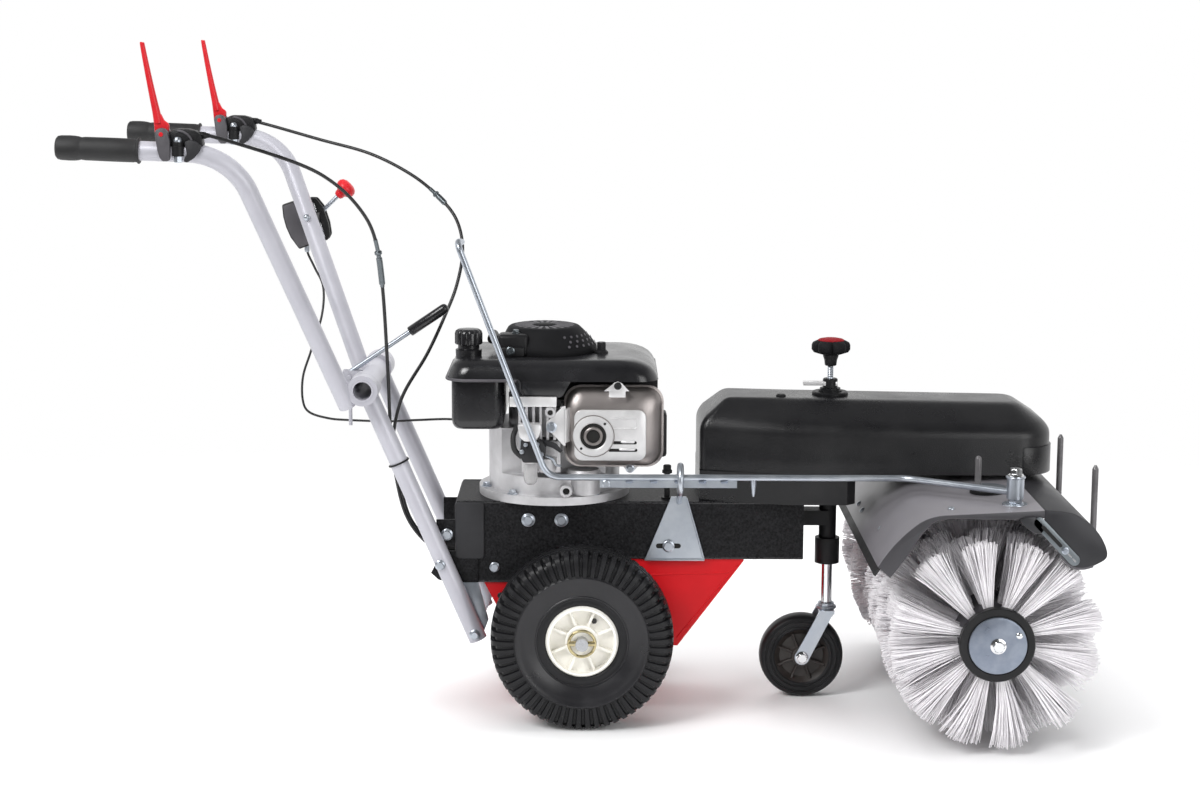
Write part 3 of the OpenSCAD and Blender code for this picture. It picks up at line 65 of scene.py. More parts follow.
def add_node(nt, kind, **values):
    n = nt.nodes.new("ShaderNode" + kind)
    set_inputs(n, values)
    return n


def noise(nt, coord, scale, detail, rough):
    n = add_node(nt, "TexNoise", Scale=scale, Detail=detail, Roughness=rough)
    nt.links.new(coord, n.inputs["Vector"])
    return n.outputs["Fac"]


def eased(nt, value, low, high, start=0.0, end=1.0):
    """Smooth step from start to end while the value goes from low to high."""
    n = add_node(nt, "MapRange", From_Min=low, From_Max=high, To_Min=start, To_Max=end)
    n.interpolation_type = "SMOOTHSTEP"
    nt.links.new(value, n.inputs["Value"])
    return n.outputs["Result"]


def combine(nt, operation, first, second):
    n = add_node(nt, "Math")
    n.operation = operation
    nt.links.new(first, n.inputs[0])
    nt.links.new(second, n.inputs[1])
    return n.outputs["Value"]


def mix_shader(nt, share, first, second):
    n = add_node(nt, "MixShader")
    for socket, source in (("Fac", share), (1, first), (2, second)):
        nt.links.new(source, n.inputs[socket])
    return n.outputs["Shader"]


# Materials
def make(name, low, high, rough, metal=0.0, blotch=14.0, grain=900.0, bump=0.25, rough_var=0.08,
         depth=0.0004, spec=0.5, **sockets):
    """Surface with blotchy colour, fine grain in the normal and uneven gloss."""
    m = bpy.data.materials.new(name)
    m.use_nodes = True
    nt = m.node_tree
    link = nt.links.new
    bsdf = nt.nodes["Principled BSDF"]
    set_inputs(bsdf, dict(sockets, Metallic=metal, Specular_IOR_Level=spec))
    coord = add_node(nt, "TexCoord").outputs["Object"]
    blots = noise(nt, coord, blotch, 5.0, 0.6)
    ramp = add_node(nt, "ValToRGB")
    for stop, position, colour in zip(ramp.color_ramp.elements, (0.32, 0.7), (low, high)):
        stop.position = position
        stop.color = (*colour, 1)
    link(blots, ramp.inputs["Fac"])
    link(ramp.outputs["Color"], bsdf.inputs["Base Color"])
    gloss = add_node(nt, "MapRange", From_Min=0.3, From_Max=0.7, To_Min=max(rough - rough_var, 0.02),
                     To_Max=min(rough + rough_var, 1.0))
    link(blots, gloss.inputs["Value"])
    link(gloss.outputs["Result"], bsdf.inputs["Roughness"])
    relief = add_node(nt, "Bump", Strength=bump, Distance=depth)
    link(noise(nt, coord, grain, 2.0, 0.5), relief.inputs["Height"])
    link(relief.outputs["Normal"], bsdf.inputs["Normal"])
    return m


M = {
    "frame": make("black_textured_paint", (0.0025, 0.0025, 0.003), (0.021, 0.021, 0.023), 0.46, blotch=300,
                  grain=330, bump=1.0, depth=0.0012, spec=0.14),
    # Tubes on the frame's edges: black lighter than the frame's paint as a painted highlight along the rounded
    # edges, and glossier
    "edge": make("painted_highlight_black_paint", (0.010, 0.010, 0.011), (0.026, 0.026, 0.028), 0.30, blotch=200,
                 grain=330, bump=0.8),
    "carrier": make("red_paint", (0.50, 0.002, 0.006), (0.57, 0.004, 0.009), 0.42, grain=260, bump=0.1,
                    spec=0.25),
    "tube": make("silver_paint", (0.44, 0.438, 0.485), (0.495, 0.493, 0.54), 0.38, 0.2, grain=1800,
                 bump=0.15),
    "zinc": make("bright_zinc", (0.42, 0.46, 0.52), (0.56, 0.595, 0.64), 0.34, 0.9, blotch=22, bump=0.0,
                 rough_var=0.05),
    "dull_zinc": make("dull_zinc", (0.13, 0.15, 0.16), (0.20, 0.22, 0.235), 0.36, 1.0, blotch=30,
                      bump=0.06),
    "grey": make("grey_plastic", (0.060, 0.057, 0.064), (0.082, 0.078, 0.087), 0.48, blotch=24, grain=1300,
                 bump=0.3),
    "yellow_zinc": make("yellow_zinc", (0.48, 0.40, 0.20), (0.66, 0.58, 0.36), 0.3, 1.0, blotch=60,
                        grain=700, bump=0.1),
    "steel": make("turned_steel", (0.40, 0.41, 0.43), (0.56, 0.57, 0.58), 0.3, 1.0, blotch=40, grain=1500,
                  bump=0.15),
    "chrome": make("bright_chrome", (0.72, 0.73, 0.75), (0.82, 0.83, 0.84), 0.12, 1.0, blotch=30, bump=0.03,
                   rough_var=0.04),
    "cast": make("cast_aluminium", (0.56, 0.555, 0.565), (0.70, 0.695, 0.71), 0.46, 0.7, blotch=38,
                 grain=520, bump=0.55),
    "muffler": make("pressed_steel", (0.32, 0.29, 0.28), (0.39, 0.36, 0.35), 0.38, 0.85, blotch=9,
                    bump=0.06, rough_var=0.04),
    "pad": make("bright_pressed_steel", (0.70, 0.695, 0.70), (0.80, 0.795, 0.80), 0.42, 0.6, blotch=34,
                bump=0.12),
    "bronze": make("sintered_bronze", (0.36, 0.25, 0.11), (0.46, 0.33, 0.16), 0.45, 1.0, blotch=80),
    "plastic": make("grained_black_plastic", (0.0075, 0.0075, 0.0085), (0.013, 0.013, 0.014), 0.44,
                    grain=1100, bump=0.5, depth=0.0005, spec=0.3),
    "hood": make("hood_plastic", (0.0065, 0.0065, 0.0075), (0.0115, 0.0115, 0.0125), 0.31, blotch=9,
                 grain=800, bump=0.5, depth=0.0006),
    "satin": make("satin_black_plastic", (0.009, 0.009, 0.010), (0.015, 0.015, 0.017), 0.25, blotch=11,
                  grain=1400, bump=0.15, spec=0.6),
    "matte": make("matte_black_plastic", (0.007, 0.007, 0.008), (0.012, 0.012, 0.013), 0.62, grain=1100,
                  bump=0.5, spec=0.12),
    "pin": make("grey_steel", (0.13, 0.125, 0.13), (0.19, 0.185, 0.19), 0.36, 0.35, blotch=30, bump=0.1),
    "blue_zinc": make("blue_zinc", (0.20, 0.23, 0.29), (0.30, 0.335, 0.40), 0.33, 0.85, blotch=34,
                      bump=0.0),
    "dark": make("dark_grey_plastic", (0.020, 0.020, 0.022), (0.030, 0.030, 0.033), 0.48, grain=1000,
                 bump=0.6, spec=0.3),
    "tyre": make("tyre_rubber", (0.007, 0.007, 0.008), (0.013, 0.013, 0.0145), 0.44, blotch=22, grain=800,
                 bump=0.45, spec=0.28),
    "tyre_side": make("tyre_sidewall", (0.009, 0.0088, 0.0105), (0.016, 0.0155, 0.018), 0.33, blotch=16,
                      grain=700, bump=0.3, spec=0.42),
    "rubber": make("black_rubber", (0.012, 0.012, 0.0125), (0.020, 0.020, 0.021), 0.6, blotch=30,
                   grain=1200, bump=0.4),
    "rim": make("cream_plastic", (0.84, 0.82, 0.75), (0.92, 0.905, 0.86), 0.42, blotch=18, bump=0.15),
    "cover": make("graphite_paint", (0.175, 0.168, 0.183), (0.22, 0.212, 0.228), 0.38, 0.25, blotch=6,
                  grain=1500, bump=0.2),
    # Cheeks of the cover: the cover's graphite paint made darker as painted shade
    "cheek": make("graphite_paint_painted_shade", (0.042, 0.041, 0.046), (0.058, 0.056, 0.062), 0.42, 0.3,
                  blotch=7, grain=1500, bump=0.2),
    "flap": make("dark_graphite_paint", (0.022, 0.022, 0.025), (0.034, 0.034, 0.038), 0.42, 0.3, blotch=7,
                 grain=1500, bump=0.2),
    "red": make("red_plastic", (0.52, 0.010, 0.016), (0.60, 0.014, 0.022), 0.34, blotch=40, bump=0.1,
                spec=0.4),
    "knob_red": make("dull_red_plastic", (0.17, 0.008, 0.011), (0.23, 0.010, 0.015), 0.6, blotch=40,
                     bump=0.2, spec=0.08),
    "bristle": make("white_nylon", (0.87, 0.845, 0.875), (0.97, 0.95, 0.975), 0.45, blotch=70, grain=1800,
                    bump=0.15, spec=0.3),
    "cable": make("cable_sheath", (0.008, 0.008, 0.0085), (0.014, 0.014, 0.015), 0.38, blotch=60,
                  grain=1600, bump=0.0),
    # Dark patches for holes, slots and the outlet: painted shade in the openings
    "dark_hole": make("painted_shade_black", (0.004, 0.004, 0.004), (0.010, 0.009, 0.008), 0.8, blotch=80,
                      bump=0.4),
    "glass": make("filter_bowl", (0.66, 0.655, 0.66), (0.80, 0.795, 0.80), 0.14, blotch=60, grain=500,
                  bump=0.05, Transmission_Weight=0.6),
    "caster_rim": make("brown_black_plastic", (0.020, 0.016, 0.014), (0.034, 0.028, 0.025), 0.45, blotch=40,
                       bump=0.3),
}

# Mesh helpers: lengths in mm; look is "finish", "finish body" or "finish body slot"
EDGE_ANGLE = 40


def piece(name, me, look, sharp=None, weld=False):
    """Smooth object of a mesh with its finish; it rides on the chassis or the body named."""
    finish, body, slot = (look.split() + [None, None])[:3]
    ob = bpy.data.objects.new(name, me)
    SCENE.collection.objects.link(ob)
    me.materials.append(M[finish])
    me.shade_smooth()
    if sharp is not None:
        me.set_sharp_from_angle(angle=math.radians(sharp))
    if weld:
        clean(ob)
    if body != "-":
        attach(ob, body or "chassis")
    return ob


def mesh_obj(name, verts, faces, look, sharp=None, weld=False):
    me = bpy.data.meshes.new(name)
    me.from_pydata([tuple(v) for v in verts], [], faces)
    me.update()
    return piece(name, me, look, sharp, weld)


def bmesh_obj(name, bm, look):
    me = bpy.data.meshes.new(name)
    bm.to_mesh(me)
    bm.free()
    return piece(name, me, look, EDGE_ANGLE)


def clean(ob):
    bm = bmesh.new()
    bm.from_mesh(ob.data)
    bmesh.ops.remove_doubles(bm, verts=bm.verts, dist=1e-6)
    bmesh.ops.recalc_face_normals(bm, faces=bm.faces)
    bm.to_mesh(ob.data)
    bm.free()
    ob.data.update()


def basis(axis):
    a = Vector(axis).normalized()
    ref = Vector(UP) if abs(a.z) < 0.9 else Vector((1, 0, 0))
    u = ref.cross(a).normalized()
    return a, u, a.cross(u)


def skin(rings, caps=True):
    """Vertices and faces over rings of equal point count, closed at both ends if caps is set."""
    n, last = len(rings[0]), len(rings) - 1
    verts = [Vector(p) * MM for ring in rings for p in ring]
    faces = [tuple(reversed(range(n))), tuple(last * n + k for k in range(n))] if caps else []
    for i in range(last):
        for k in range(n):
            k2 = (k + 1) % n
            faces.append((i * n + k, i * n + k2, (i + 1) * n + k2, (i + 1) * n + k))
    return verts, faces


def loft(name, rings, look, sharp=30, caps=True):
    """Welded skin over rings."""
    return mesh_obj(name, *skin(rings, caps), look, sharp, weld=True)


def revolve(name, profile, origin, axis, look, seg=64, sharp=30, closed=False):
    """Turns (radius, height) pairs about an axis through origin."""
    a, u, w = basis(axis)
    o = Vector(origin)
    n = len(profile)
    verts, faces = [], []
    for k in range(seg):
        t = TURN * k / seg
        d = u * math.cos(t) + w * math.sin(t)
        verts += [(o + a * h + d * r) * MM for r, h in profile]
    for k in range(seg):
        k2 = (k + 1) % seg
        for j in range(n if closed else n - 1):
            j2 = (j + 1) % n
            faces.append((k * n + j, k * n + j2, k2 * n + j2, k2 * n + j))
    if not closed:
        if profile[0][0] > 1e-6:
            faces.append(tuple(k * n for k in range(seg)))
        if profile[-1][0] > 1e-6:
            faces.append(tuple(k * n + n - 1 for k in reversed(range(seg))))
    return mesh_obj(name, verts, faces, look, sharp, weld=True)


def smooth_path(points, steps):
    """Catmull-Rom points through a route."""
    pts = [Vector(p) for p in points]
    out = []
    n = len(pts) - 1
    for i in range(n):
        a, b, c, d = pts[max(i - 1, 0)], pts[i], pts[i + 1], pts[min(i + 2, n)]
        for k in range(steps):
            f = k / steps
            out.append(0.5 * (2 * b + (c - a) * f + (2 * a - 5 * b + 4 * c - d) * f * f
                              + (3 * b - a - 3 * c + d) * f ** 3))
    out.append(pts[-1])
    return out


def tube(name, path, radius, look, sides=12, sharp=50):
    """Round tube along points; radius is a number or one per point."""
    pts = [Vector(p) for p in path]
    radii = radius if isinstance(radius, (list, tuple)) else [radius] * len(pts)
    rings, u = [], None
    for i, (p, r) in enumerate(zip(pts, radii)):
        t = (pts[min(i + 1, len(pts) - 1)] - pts[max(i - 1, 0)]).normalized()
        u = basis(t)[1] if u is None else (u - t * u.dot(t)).normalized()
        w = t.cross(u)
        angles = [TURN * k / sides for k in range(sides)]
        rings.append([p + (u * math.cos(a) + w * math.sin(a)) * r for a in angles])
    return mesh_obj(name, *skin(rings), look, sharp)


def block(name, lo, hi, look, bevel=1.0, segments=2):
    """Box with rounded edges."""
    bm = bmesh.new()
    bmesh.ops.create_cube(bm, size=1.0)
    for v in bm.verts:
        v.co = Vector([(lo[i] + hi[i]) / 2 + v.co[i] * (hi[i] - lo[i]) for i in range(3)]) * MM
    bmesh.ops.bevel(bm, geom=bm.edges, offset=bevel * MM, segments=segments, profile=0.5, affect="EDGES")
    return bmesh_obj(name, bm, look)


def prism(name, outline, low, high, look, plane="xz", bevel=0.8):
    """Extrudes an outline in the xz or xy plane between two levels, with rounded edges."""
    def level(t):
        points = [(p, t, q) if plane == "xz" else (p, q, t) for p, q in outline]
        return [bm.verts.new(Vector(p) * MM) for p in points]
    bm = bmesh.new()
    lower, upper = level(low), level(high)
    n = len(outline)
    bm.faces.new(lower)
    bm.faces.new(list(reversed(upper)))
    for i in range(n):
        bm.faces.new((lower[i], upper[i], upper[(i + 1) % n], lower[(i + 1) % n]))
    bmesh.ops.recalc_face_normals(bm, faces=bm.faces)
    if bevel:
        edges = [e for e in bm.edges if e.calc_face_angle(0) > math.radians(20)]
        bmesh.ops.bevel(bm, geom=edges, offset=bevel * MM, segments=2, profile=0.5, affect="EDGES")
    return bmesh_obj(name, bm, look)


def hex_head(name, at, axis, look, flange, hexr, h):
    """Flanged hexagon head with a chamfered crown."""
    a, u, w = basis(axis)
    seg, sixth = 24, math.pi / 3
    rings = []
    for r, z, hexagon in ((flange, 0, False), (flange, h * 0.18, False), (hexr * 1.02, h * 0.34, False),
                          (hexr, h * 0.36, True), (hexr, h * 0.86, True), (hexr * 0.82, h, False)):
        ring = []
        for k in range(seg):
            t = TURN * k / seg
            reach = r * math.cos(sixth / 2) / math.cos(t % sixth - sixth / 2) if hexagon else r
            ring.append(Vector(at) + a * z + (u * math.cos(t) + w * math.sin(t)) * reach)
        rings.append(ring)
    return mesh_obj(name, *skin(rings), look, 30)


def lobed(name, profile, origin, lobes, depth, look, seg=120):
    """Upright turned shape with a scalloped rim; profile holds (radius, height, share of the scallop)."""
    a, u, w = basis(UP)
    rings = []
    for r, h, share in profile:
        ring = []
        for k in range(seg):
            t = TURN * k / seg
            dip = depth * share * (1 - abs(math.sin(lobes * t / 2))) ** 2
            ring.append(Vector(origin) + a * h + (u * math.cos(t) + w * math.sin(t)) * (r - dip))
        rings.append(ring)
    return loft(name, rings, look, EDGE_ANGLE)


def rounded_rect(cx, cy, hw, hh, r, n=7):
    """Outline of a rectangle with round corners."""
    r = min(r, hw, hh)
    pts = []
    for sx, sy, start in ((1, 1, 0), (-1, 1, 90), (-1, -1, 180), (1, -1, 270)):
        for k in range(n + 1):
            a = math.radians(start + 90 * k / n)
            pts.append((cx + sx * (hw - r) + r * math.cos(a), cy + sy * (hh - r) + r * math.sin(a)))
    return pts


def capsule(cx, cy, length, width, tilt=0.0, n=6):
    """Outline of a slot with round ends; tilt in degrees."""
    r = width / 2
    reach = length / 2 - r
    c, s = math.cos(math.radians(tilt)), math.sin(math.radians(tilt))
    pts = []
    for sign, start in ((1, -90), (-1, 90)):
        for k in range(n + 1):
            a = math.radians(start + 180 * k / n)
            px, py = sign * reach + r * math.cos(a), r * math.sin(a)
            pts.append((cx + px * c - py * s, cy + px * s + py * c))
    return pts


# Camera, fitted to points of the photo
FOCAL_PX, PHOTO_PX, SENSOR = 2257.56, 1200, 36.0
CAMERA_AT = Vector((0.01033, -3.61438, 1.08942))
PITCH, YAW, ROLL = 0.163579, 0.000456, 0.003277


def camera():
    data = bpy.data.cameras.new("camera")
    cam = bpy.data.objects.new("camera", data)
    SCENE.collection.objects.link(cam)
    data.sensor_width = SENSOR
    data.lens = FOCAL_PX / PHOTO_PX * SENSOR
    data.clip_end = 100
    ahead = Vector((math.sin(YAW) * math.cos(PITCH), math.cos(YAW) * math.cos(PITCH), -math.sin(PITCH)))
    level = Vector((math.cos(YAW), -math.sin(YAW), 0))
    over = level.cross(ahead)
    side = level * math.cos(ROLL) + over * math.sin(ROLL)
    top = over * math.cos(ROLL) - level * math.sin(ROLL)
    cam.matrix_world = Matrix.Translation(CAMERA_AT) @ Matrix((side, top, -ahead)).transposed().to_4x4()
    SCENE.camera = cam
    SCENE.view_settings.view_transform = "Standard"


camera()

# World: white to the camera, and in reflections bright behind the object and dim in front of it
WORLD_LIGHT = 0.5
MIRROR_NEAR, MIRROR_FAR, MIRROR_DIM, MIRROR_BRIGHT = -0.55, 0.35, 0.08, 1.0
SKY_LOW, SKY_HIGH, SKY_DIM = 0.35, 0.75, 0.25


def studio_world():
    world = bpy.data.worlds.new("studio")
    SCENE.world = world
    world.use_nodes = True
    nt = world.node_tree
    soft = nt.nodes["Background"]
    set_inputs(soft, {"Color": WHITE, "Strength": WORLD_LIGHT})
    white = add_node(nt, "Background", Color=WHITE, Strength=1.0)
    mirror = add_node(nt, "Background", Color=WHITE)
    split = add_node(nt, "SeparateXYZ")
    nt.links.new(add_node(nt, "TexCoord").outputs["Generated"], split.inputs["Vector"])
    depth = eased(nt, split.outputs["Y"], MIRROR_NEAR, MIRROR_FAR, MIRROR_DIM, MIRROR_BRIGHT)
    sky = eased(nt, split.outputs["Z"], SKY_LOW, SKY_HIGH, 1.0, SKY_DIM)
    nt.links.new(combine(nt, "MULTIPLY", depth, sky), mirror.inputs["Strength"])
    rays = add_node(nt, "LightPath").outputs
    mirrored = combine(nt, "MAXIMUM", rays["Is Glossy Ray"], rays["Is Transmission Ray"])
    lit = mix_shader(nt, mirrored, soft.outputs["Background"], mirror.outputs["Background"])
    seen = mix_shader(nt, rays["Is Camera Ray"], lit, white.outputs["Background"])
    nt.links.new(seen, nt.nodes["World Output"].inputs["Surface"])


studio_world()


# Studio lights: place and target in metres, size and power
def area(name, at, target, size, power, mirrored=True):
    light = bpy.data.lights.new(name, "AREA")
    light.energy = power
    light.size = size
    ob = bpy.data.objects.new(name, light)
    SCENE.collection.objects.link(ob)
    ob.location = at
    ob.rotation_euler = (Vector(target) - Vector(at)).to_track_quat("-Z", "Y").to_euler()
    ob.visible_glossy = mirrored


area("key", (-2.4, -2.6, 3.4), (0.0, 0, 0.35), 1.8, 140)
area("fill", (2.4, -3.2, 1.2), (0.35, 0, 0.3), 2.2, 52)
area("top", (0.0, 0.4, 3.6), (0, 0, 0.3), 3.0, 80, mirrored=False)
area("rim_light", (0.8, 3.2, 2.2), (0, 0, 0.5), 2.6, 60, mirrored=False)

FLOOR_CLEAR, FLOOR_EDGE = 0.75, 2.3
FLOOR_STRETCH = (0.62, 1.0, 1.0)
FLOOR_COLOUR = (0.93, 0.93, 0.935, 1)


def pale_floor():
    """White floor that takes the shadow near the object and fades into the white world further out."""
    mat = bpy.data.materials.new("pale_floor")
    mat.use_nodes = True
    nt = mat.node_tree
    paint = nt.nodes["Principled BSDF"]
    set_inputs(paint, {"Base Color": FLOOR_COLOUR, "Roughness": 0.75, "Specular IOR Level": 0.2})
    mapping = add_node(nt, "Mapping", Scale=FLOOR_STRETCH)
    nt.links.new(add_node(nt, "TexCoord").outputs["Object"], mapping.inputs["Vector"])
    far = add_node(nt, "VectorMath")
    far.operation = "LENGTH"
    nt.links.new(mapping.outputs["Vector"], far.inputs[0])
    fade = eased(nt, far.outputs["Value"], FLOOR_CLEAR, FLOOR_EDGE)
    clear = add_node(nt, "BsdfTransparent")
    shader = mix_shader(nt, fade, paint.outputs["BSDF"], clear.outputs["BSDF"])
    nt.links.new(shader, nt.nodes["Material Output"].inputs["Surface"])
    half = FLOOR_EDGE / FLOOR_STRETCH[0]
    corners = [(x * half, y * half, 0) for x, y in ((-1, -1), (1, -1), (1, 1), (-1, 1))]
    me = bpy.data.meshes.new("floor")
    me.from_pydata(corners, [], [(0, 1, 2, 3)])
    me.materials.append(mat)
    ob = bpy.data.objects.new("floor", me)
    SCENE.collection.objects.link(ob)


pale_floor()


# CAD nodes that stay in view, with their finish and the rounding of their edges
BEVEL_ANGLE = 32


def dress(node, mat, bevel):
    ob = NODES[node]
    if not ob.material_slots:
        ob.data.materials.append(M[mat])
    for s in ob.material_slots:
        s.material = M[mat]
    b = ob.modifiers.new("edge", "BEVEL")
    b.width = bevel * MM
    b.segments = 2
    b.limit_method = "ANGLE"
    b.angle_limit = math.radians(BEVEL_ANGLE)
    b.harden_normals = True
    b.use_clamp_overlap = True


for mat, bevel, nodes in (
        ("frame", 4.0, "frame_box"), ("frame", 1.0, "boom"), ("frame", 0.8, "head_gearbox"),
        ("carrier", 1.5, "axle_carrier"), ("bronze", 0.5, "bearings"), ("cast", 1.2, "engine_block"),
        ("tube", 0.4, "lower_tube_right lower_tube_left upper_tube_right upper_tube_left"),
        ("tube", 0.5, "cross_tube"), ("zinc", 0.6, "rod_guide"), ("zinc", 0.4, "steering_rod"),
        ("zinc", 0.8, "caster_fork"), ("yellow_zinc", 0.4, "linch_pins"), ("chrome", 0.5, "caster_stem"),
        ("steel", 0.6, "axle_shaft"), ("steel", 0.4, "worm_shaft crankshaft jackshaft input_shaft"),
        ("plastic", 0.8, "caster_sleeve"), ("plastic", 0.4, "brush_shaft"), ("plastic", 1.2, "starter_grip"),
        ("rubber", 0.5, "drive_belts"), ("rubber", 0.8, "rear_strip"), ("rim", 0.8, "rim_right rim_left"),
        ("pin", 0.6, "bin_pins")):
    for node in nodes.split():
        dress(node, mat, bevel)

# Brush: strands in separate tufts, ring by ring along a sleeve on the core
BRUSH = Vector((610, 0, 176))
RINGS, TUFTS, STRANDS = 9, 12, 112
RING_FIRST, RING_LAST, END_FLARE = 42, 305, 11
CORE_R, TUFT_REACH, TUFT_FAN = 49, (158, 171), (0.15, 0.25)
ROOT_HALF, TIP_HALF = 5.0, 13.0
STRAND_STEPS, STRAND_R, THIRD = (0.0, 0.45, 0.8, 1.0), (0.7, 1.0), 2.0944
SEEDS = {RIGHT: 41, LEFT: 57}


def bristles(side, name):
    rng = random.Random(SEEDS[side])
    verts, faces = [], []
    pitch = TURN / TUFTS
    for i in range(RINGS):
        y0 = RING_FIRST + i * (RING_LAST - RING_FIRST) / (RINGS - 1)
        flare = END_FLARE if i == RINGS - 1 else 0
        turn = rng.uniform(0, pitch)
        for k in range(TUFTS):
            th0 = turn + k * pitch + rng.uniform(-0.06, 0.06)
            reach = rng.uniform(*TUFT_REACH)
            fan = rng.uniform(*TUFT_FAN)
            lean = rng.uniform(-0.10, 0.10)
            bow = rng.uniform(-0.05, 0.05)
            for _ in range(STRANDS):
                q = rng.triangular(-1, 1, 0)
                p = rng.uniform(-1, 1)
                r_tip = reach - abs(rng.gauss(0, 3.0)) - 5.0 * q * q
                th_b, th_t = th0 + q * 0.14, th0 + lean + q * fan + rng.gauss(0, 0.012)
                y_b, y_t = y0 + p * ROOT_HALF, y0 + flare + p * TIP_HALF + rng.gauss(0, 2.0)
                thick = rng.uniform(*STRAND_R)
                bend = bow + rng.gauss(0, 0.012)
                base = len(verts)
                for f in STRAND_STEPS:
                    r = CORE_R + (r_tip - CORE_R) * f
                    th = th_b + (th_t - th_b) * f ** 0.9 + bend * f * f
                    y = y_b + (y_t - y_b) * f
                    er = Vector((math.cos(th), 0, math.sin(th)))
                    et = Vector((-math.sin(th), 0, math.cos(th)))
                    c = BRUSH + er * r + Vector((0, side * y, 0))
                    for a in range(3):
                        t = a * THIRD + q
                        edge = c + et * thick * math.cos(t)
                        verts.append((edge + Vector((0, thick * math.sin(t), 0))) * MM)
                for low in range(base, base + 9, 3):
                    for a in range(3):
                        b = (a + 1) % 3
                        faces.append((low + a, low + b, low + 3 + b, low + 3 + a))
                faces.append((base + 9, base + 10, base + 11))
    return mesh_obj(name, verts, faces, "bristle brush")


CORE_SLEEVE = [(45.6, 28), (51.5, 28), (52, 29), (52, 317), (51.5, 318), (45.6, 318)]
for s, word in SIDES:
    strands = bristles(s, "bristles_%s_strands" % word)
    revolve("bristles_%s_core" % word, CORE_SLEEVE, BRUSH, (0, s, 0), "grey brush core_plastic", closed=True)
    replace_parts(strands, "bristles_" + word)

# Drive tyres: half the section as (radius, offset from the middle, share of the lug depth)
AXLE = Vector((-15, 0, 144))
TYRE_Y, SIDEWALL = 170, (70, 105)
LUGS, LUG_STEPS, LUG_GAP, LUG_DEPTH = 58, 10, 4, 6.5
TYRE_HALF = [
    (57, 0, 0), (57, 30, 0), (59, 33, 0), (62, 34.2, 0), (65, 33.6, 0), (67, 33.4, 0), (70, 34.2, 0),
    (71, 35.6, 0), (72.6, 36, 0), (73.6, 35.2, 0), (80, 38.2, 0), (88, 41, 0), (94, 42.4, 0),
    (100, 43.2, 0), (101.6, 44.2, 0), (103.6, 44.2, 0), (104.6, 43, 0), (106.4, 42.8, 0.2), (108, 43, 0.9),
    (114, 43, 1), (121, 42.6, 1), (128, 41.2, 1), (133, 39.6, 1), (137, 37.2, 1), (140, 34, 1),
    (141.8, 29, 1), (142.9, 24, 1), (143.3, 19, 1), (143.4, 17.2, 0.3), (139.5, 16.4, 0), (139.5, 12.8, 0),
    (143.7, 12, 0), (144, 6, 0), (144, 4, 0), (140, 3.2, 0), (140, 0, 0)]


def tyre(side, name):
    prof = (TYRE_HALF + [(r, -y, d) for r, y, d in reversed(TYRE_HALF[:-1])])[1:-1]
    n = len(prof)
    normals = []
    for j in range(n):
        a, b = prof[max(j - 1, 0)], prof[min(j + 1, n - 1)]
        dr, dy = b[0] - a[0], b[1] - a[1]
        length = math.hypot(dr, dy) or 1
        normals.append((abs(dy / length), abs(dr / length)))
    seg = LUGS * LUG_STEPS
    verts, faces = [], []
    for k in range(seg):
        t = TURN * k / seg
        for (r, y, d), (nr, ny) in zip(prof, normals):
            half = 1 if y > 0 else -1
            phase = (k + (0 if y > 0 else LUG_STEPS // 2) + int(abs(y) < 24)) % LUG_STEPS
            deep = LUG_DEPTH * d if phase < LUG_GAP else 0.0
            rr, yy = r - nr * deep, y - half * ny * deep * 0.6
            verts.append(((AXLE.x + rr * math.cos(t)) * MM, (side * TYRE_Y + yy) * MM,
                          (AXLE.z + rr * math.sin(t)) * MM))
    for k in range(seg):
        k2 = (k + 1) % seg
        for j in range(n - 1):
            faces.append((k * n + j, k * n + j + 1, k2 * n + j + 1, k2 * n + j))
    ob = mesh_obj(name, verts, faces, "tyre -", 38, weld=True)
    ob.data.materials.append(M["tyre_side"])
    for poly in ob.data.polygons:
        r = math.hypot(poly.center.x / MM - AXLE.x, poly.center.z / MM - AXLE.z)
        poly.material_index = 1 if SIDEWALL[0] < r < SIDEWALL[1] else 0
    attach(ob, "axle")
    return ob


for s, word in SIDES:
    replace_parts(tyre(s, "tyre_%s_tread" % word), "tyre_" + word)

# Control cables along their routes, each with a span of heights low_z to high_z, in metres
RIGHT_ROUTE = [
    (-596.4, -258, 931), (-565, -258, 929), (-445, -240, 890), (-390, -215, 858), (-352, -190, 815),
    (-333, -165, 768), (-325, -140, 690), (-322, -105, 560), (-321, -85, 470), (-316, -80, 400),
    (-300, -70, 320), (-270, -60, 272), (-240, -52, 257), (-216.7, -50, 255)]
LEFT_ROUTE = [
    (-596.4, 258, 931), (-567, 258, 927), (-465, 240, 900), (-378, 215, 878), (-307, 180, 846),
    (-258, 140, 812), (-226, 110, 776), (-214, 80, 729), (-222, 50, 675), (-241, 30, 625),
    (-268, 0, 567), (-306, -40, 502), (-319, -66, 435), (-313, -66, 390), (-296, -56, 315),
    (-268, -46, 272), (-240, -38, 257), (-216.7, -36, 255)]
THROTTLE_ROUTE = [
    (-496, 287, 708.5), (-494, 287, 699), (-482, 280, 676), (-467, 268, 645), (-468, 250, 598),
    (-484, 220, 540), (-495, 195, 500), (-493, 170, 464), (-480, 150, 446), (-446, 130, 439),
    (-410, 112, 439), (-340, 84, 442), (-290, 74, 446), (-234, 60, 450), (-195, 46, 446), (-162, 40, 440)]
LEVER_Z_SPAN, THROTTLE_Z_SPAN = (0.43, 0.90), (0.45, 0.69)


def held(ob, low_z, high_z):
    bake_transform(ob)
    return ob


for name, route, r, span, node in (
        ("right_lever_cable", RIGHT_ROUTE, 2.75, LEVER_Z_SPAN, "lever_cables"),
        ("left_lever_cable", LEFT_ROUTE, 2.75, LEVER_Z_SPAN, "lever_cables"),
        ("throttle_wire", THROTTLE_ROUTE, 2.0, THROTTLE_Z_SPAN, "throttle_cable")):
    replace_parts(held(tube(name, smooth_path(route, 8), r, "cable -", 10), *span), node)

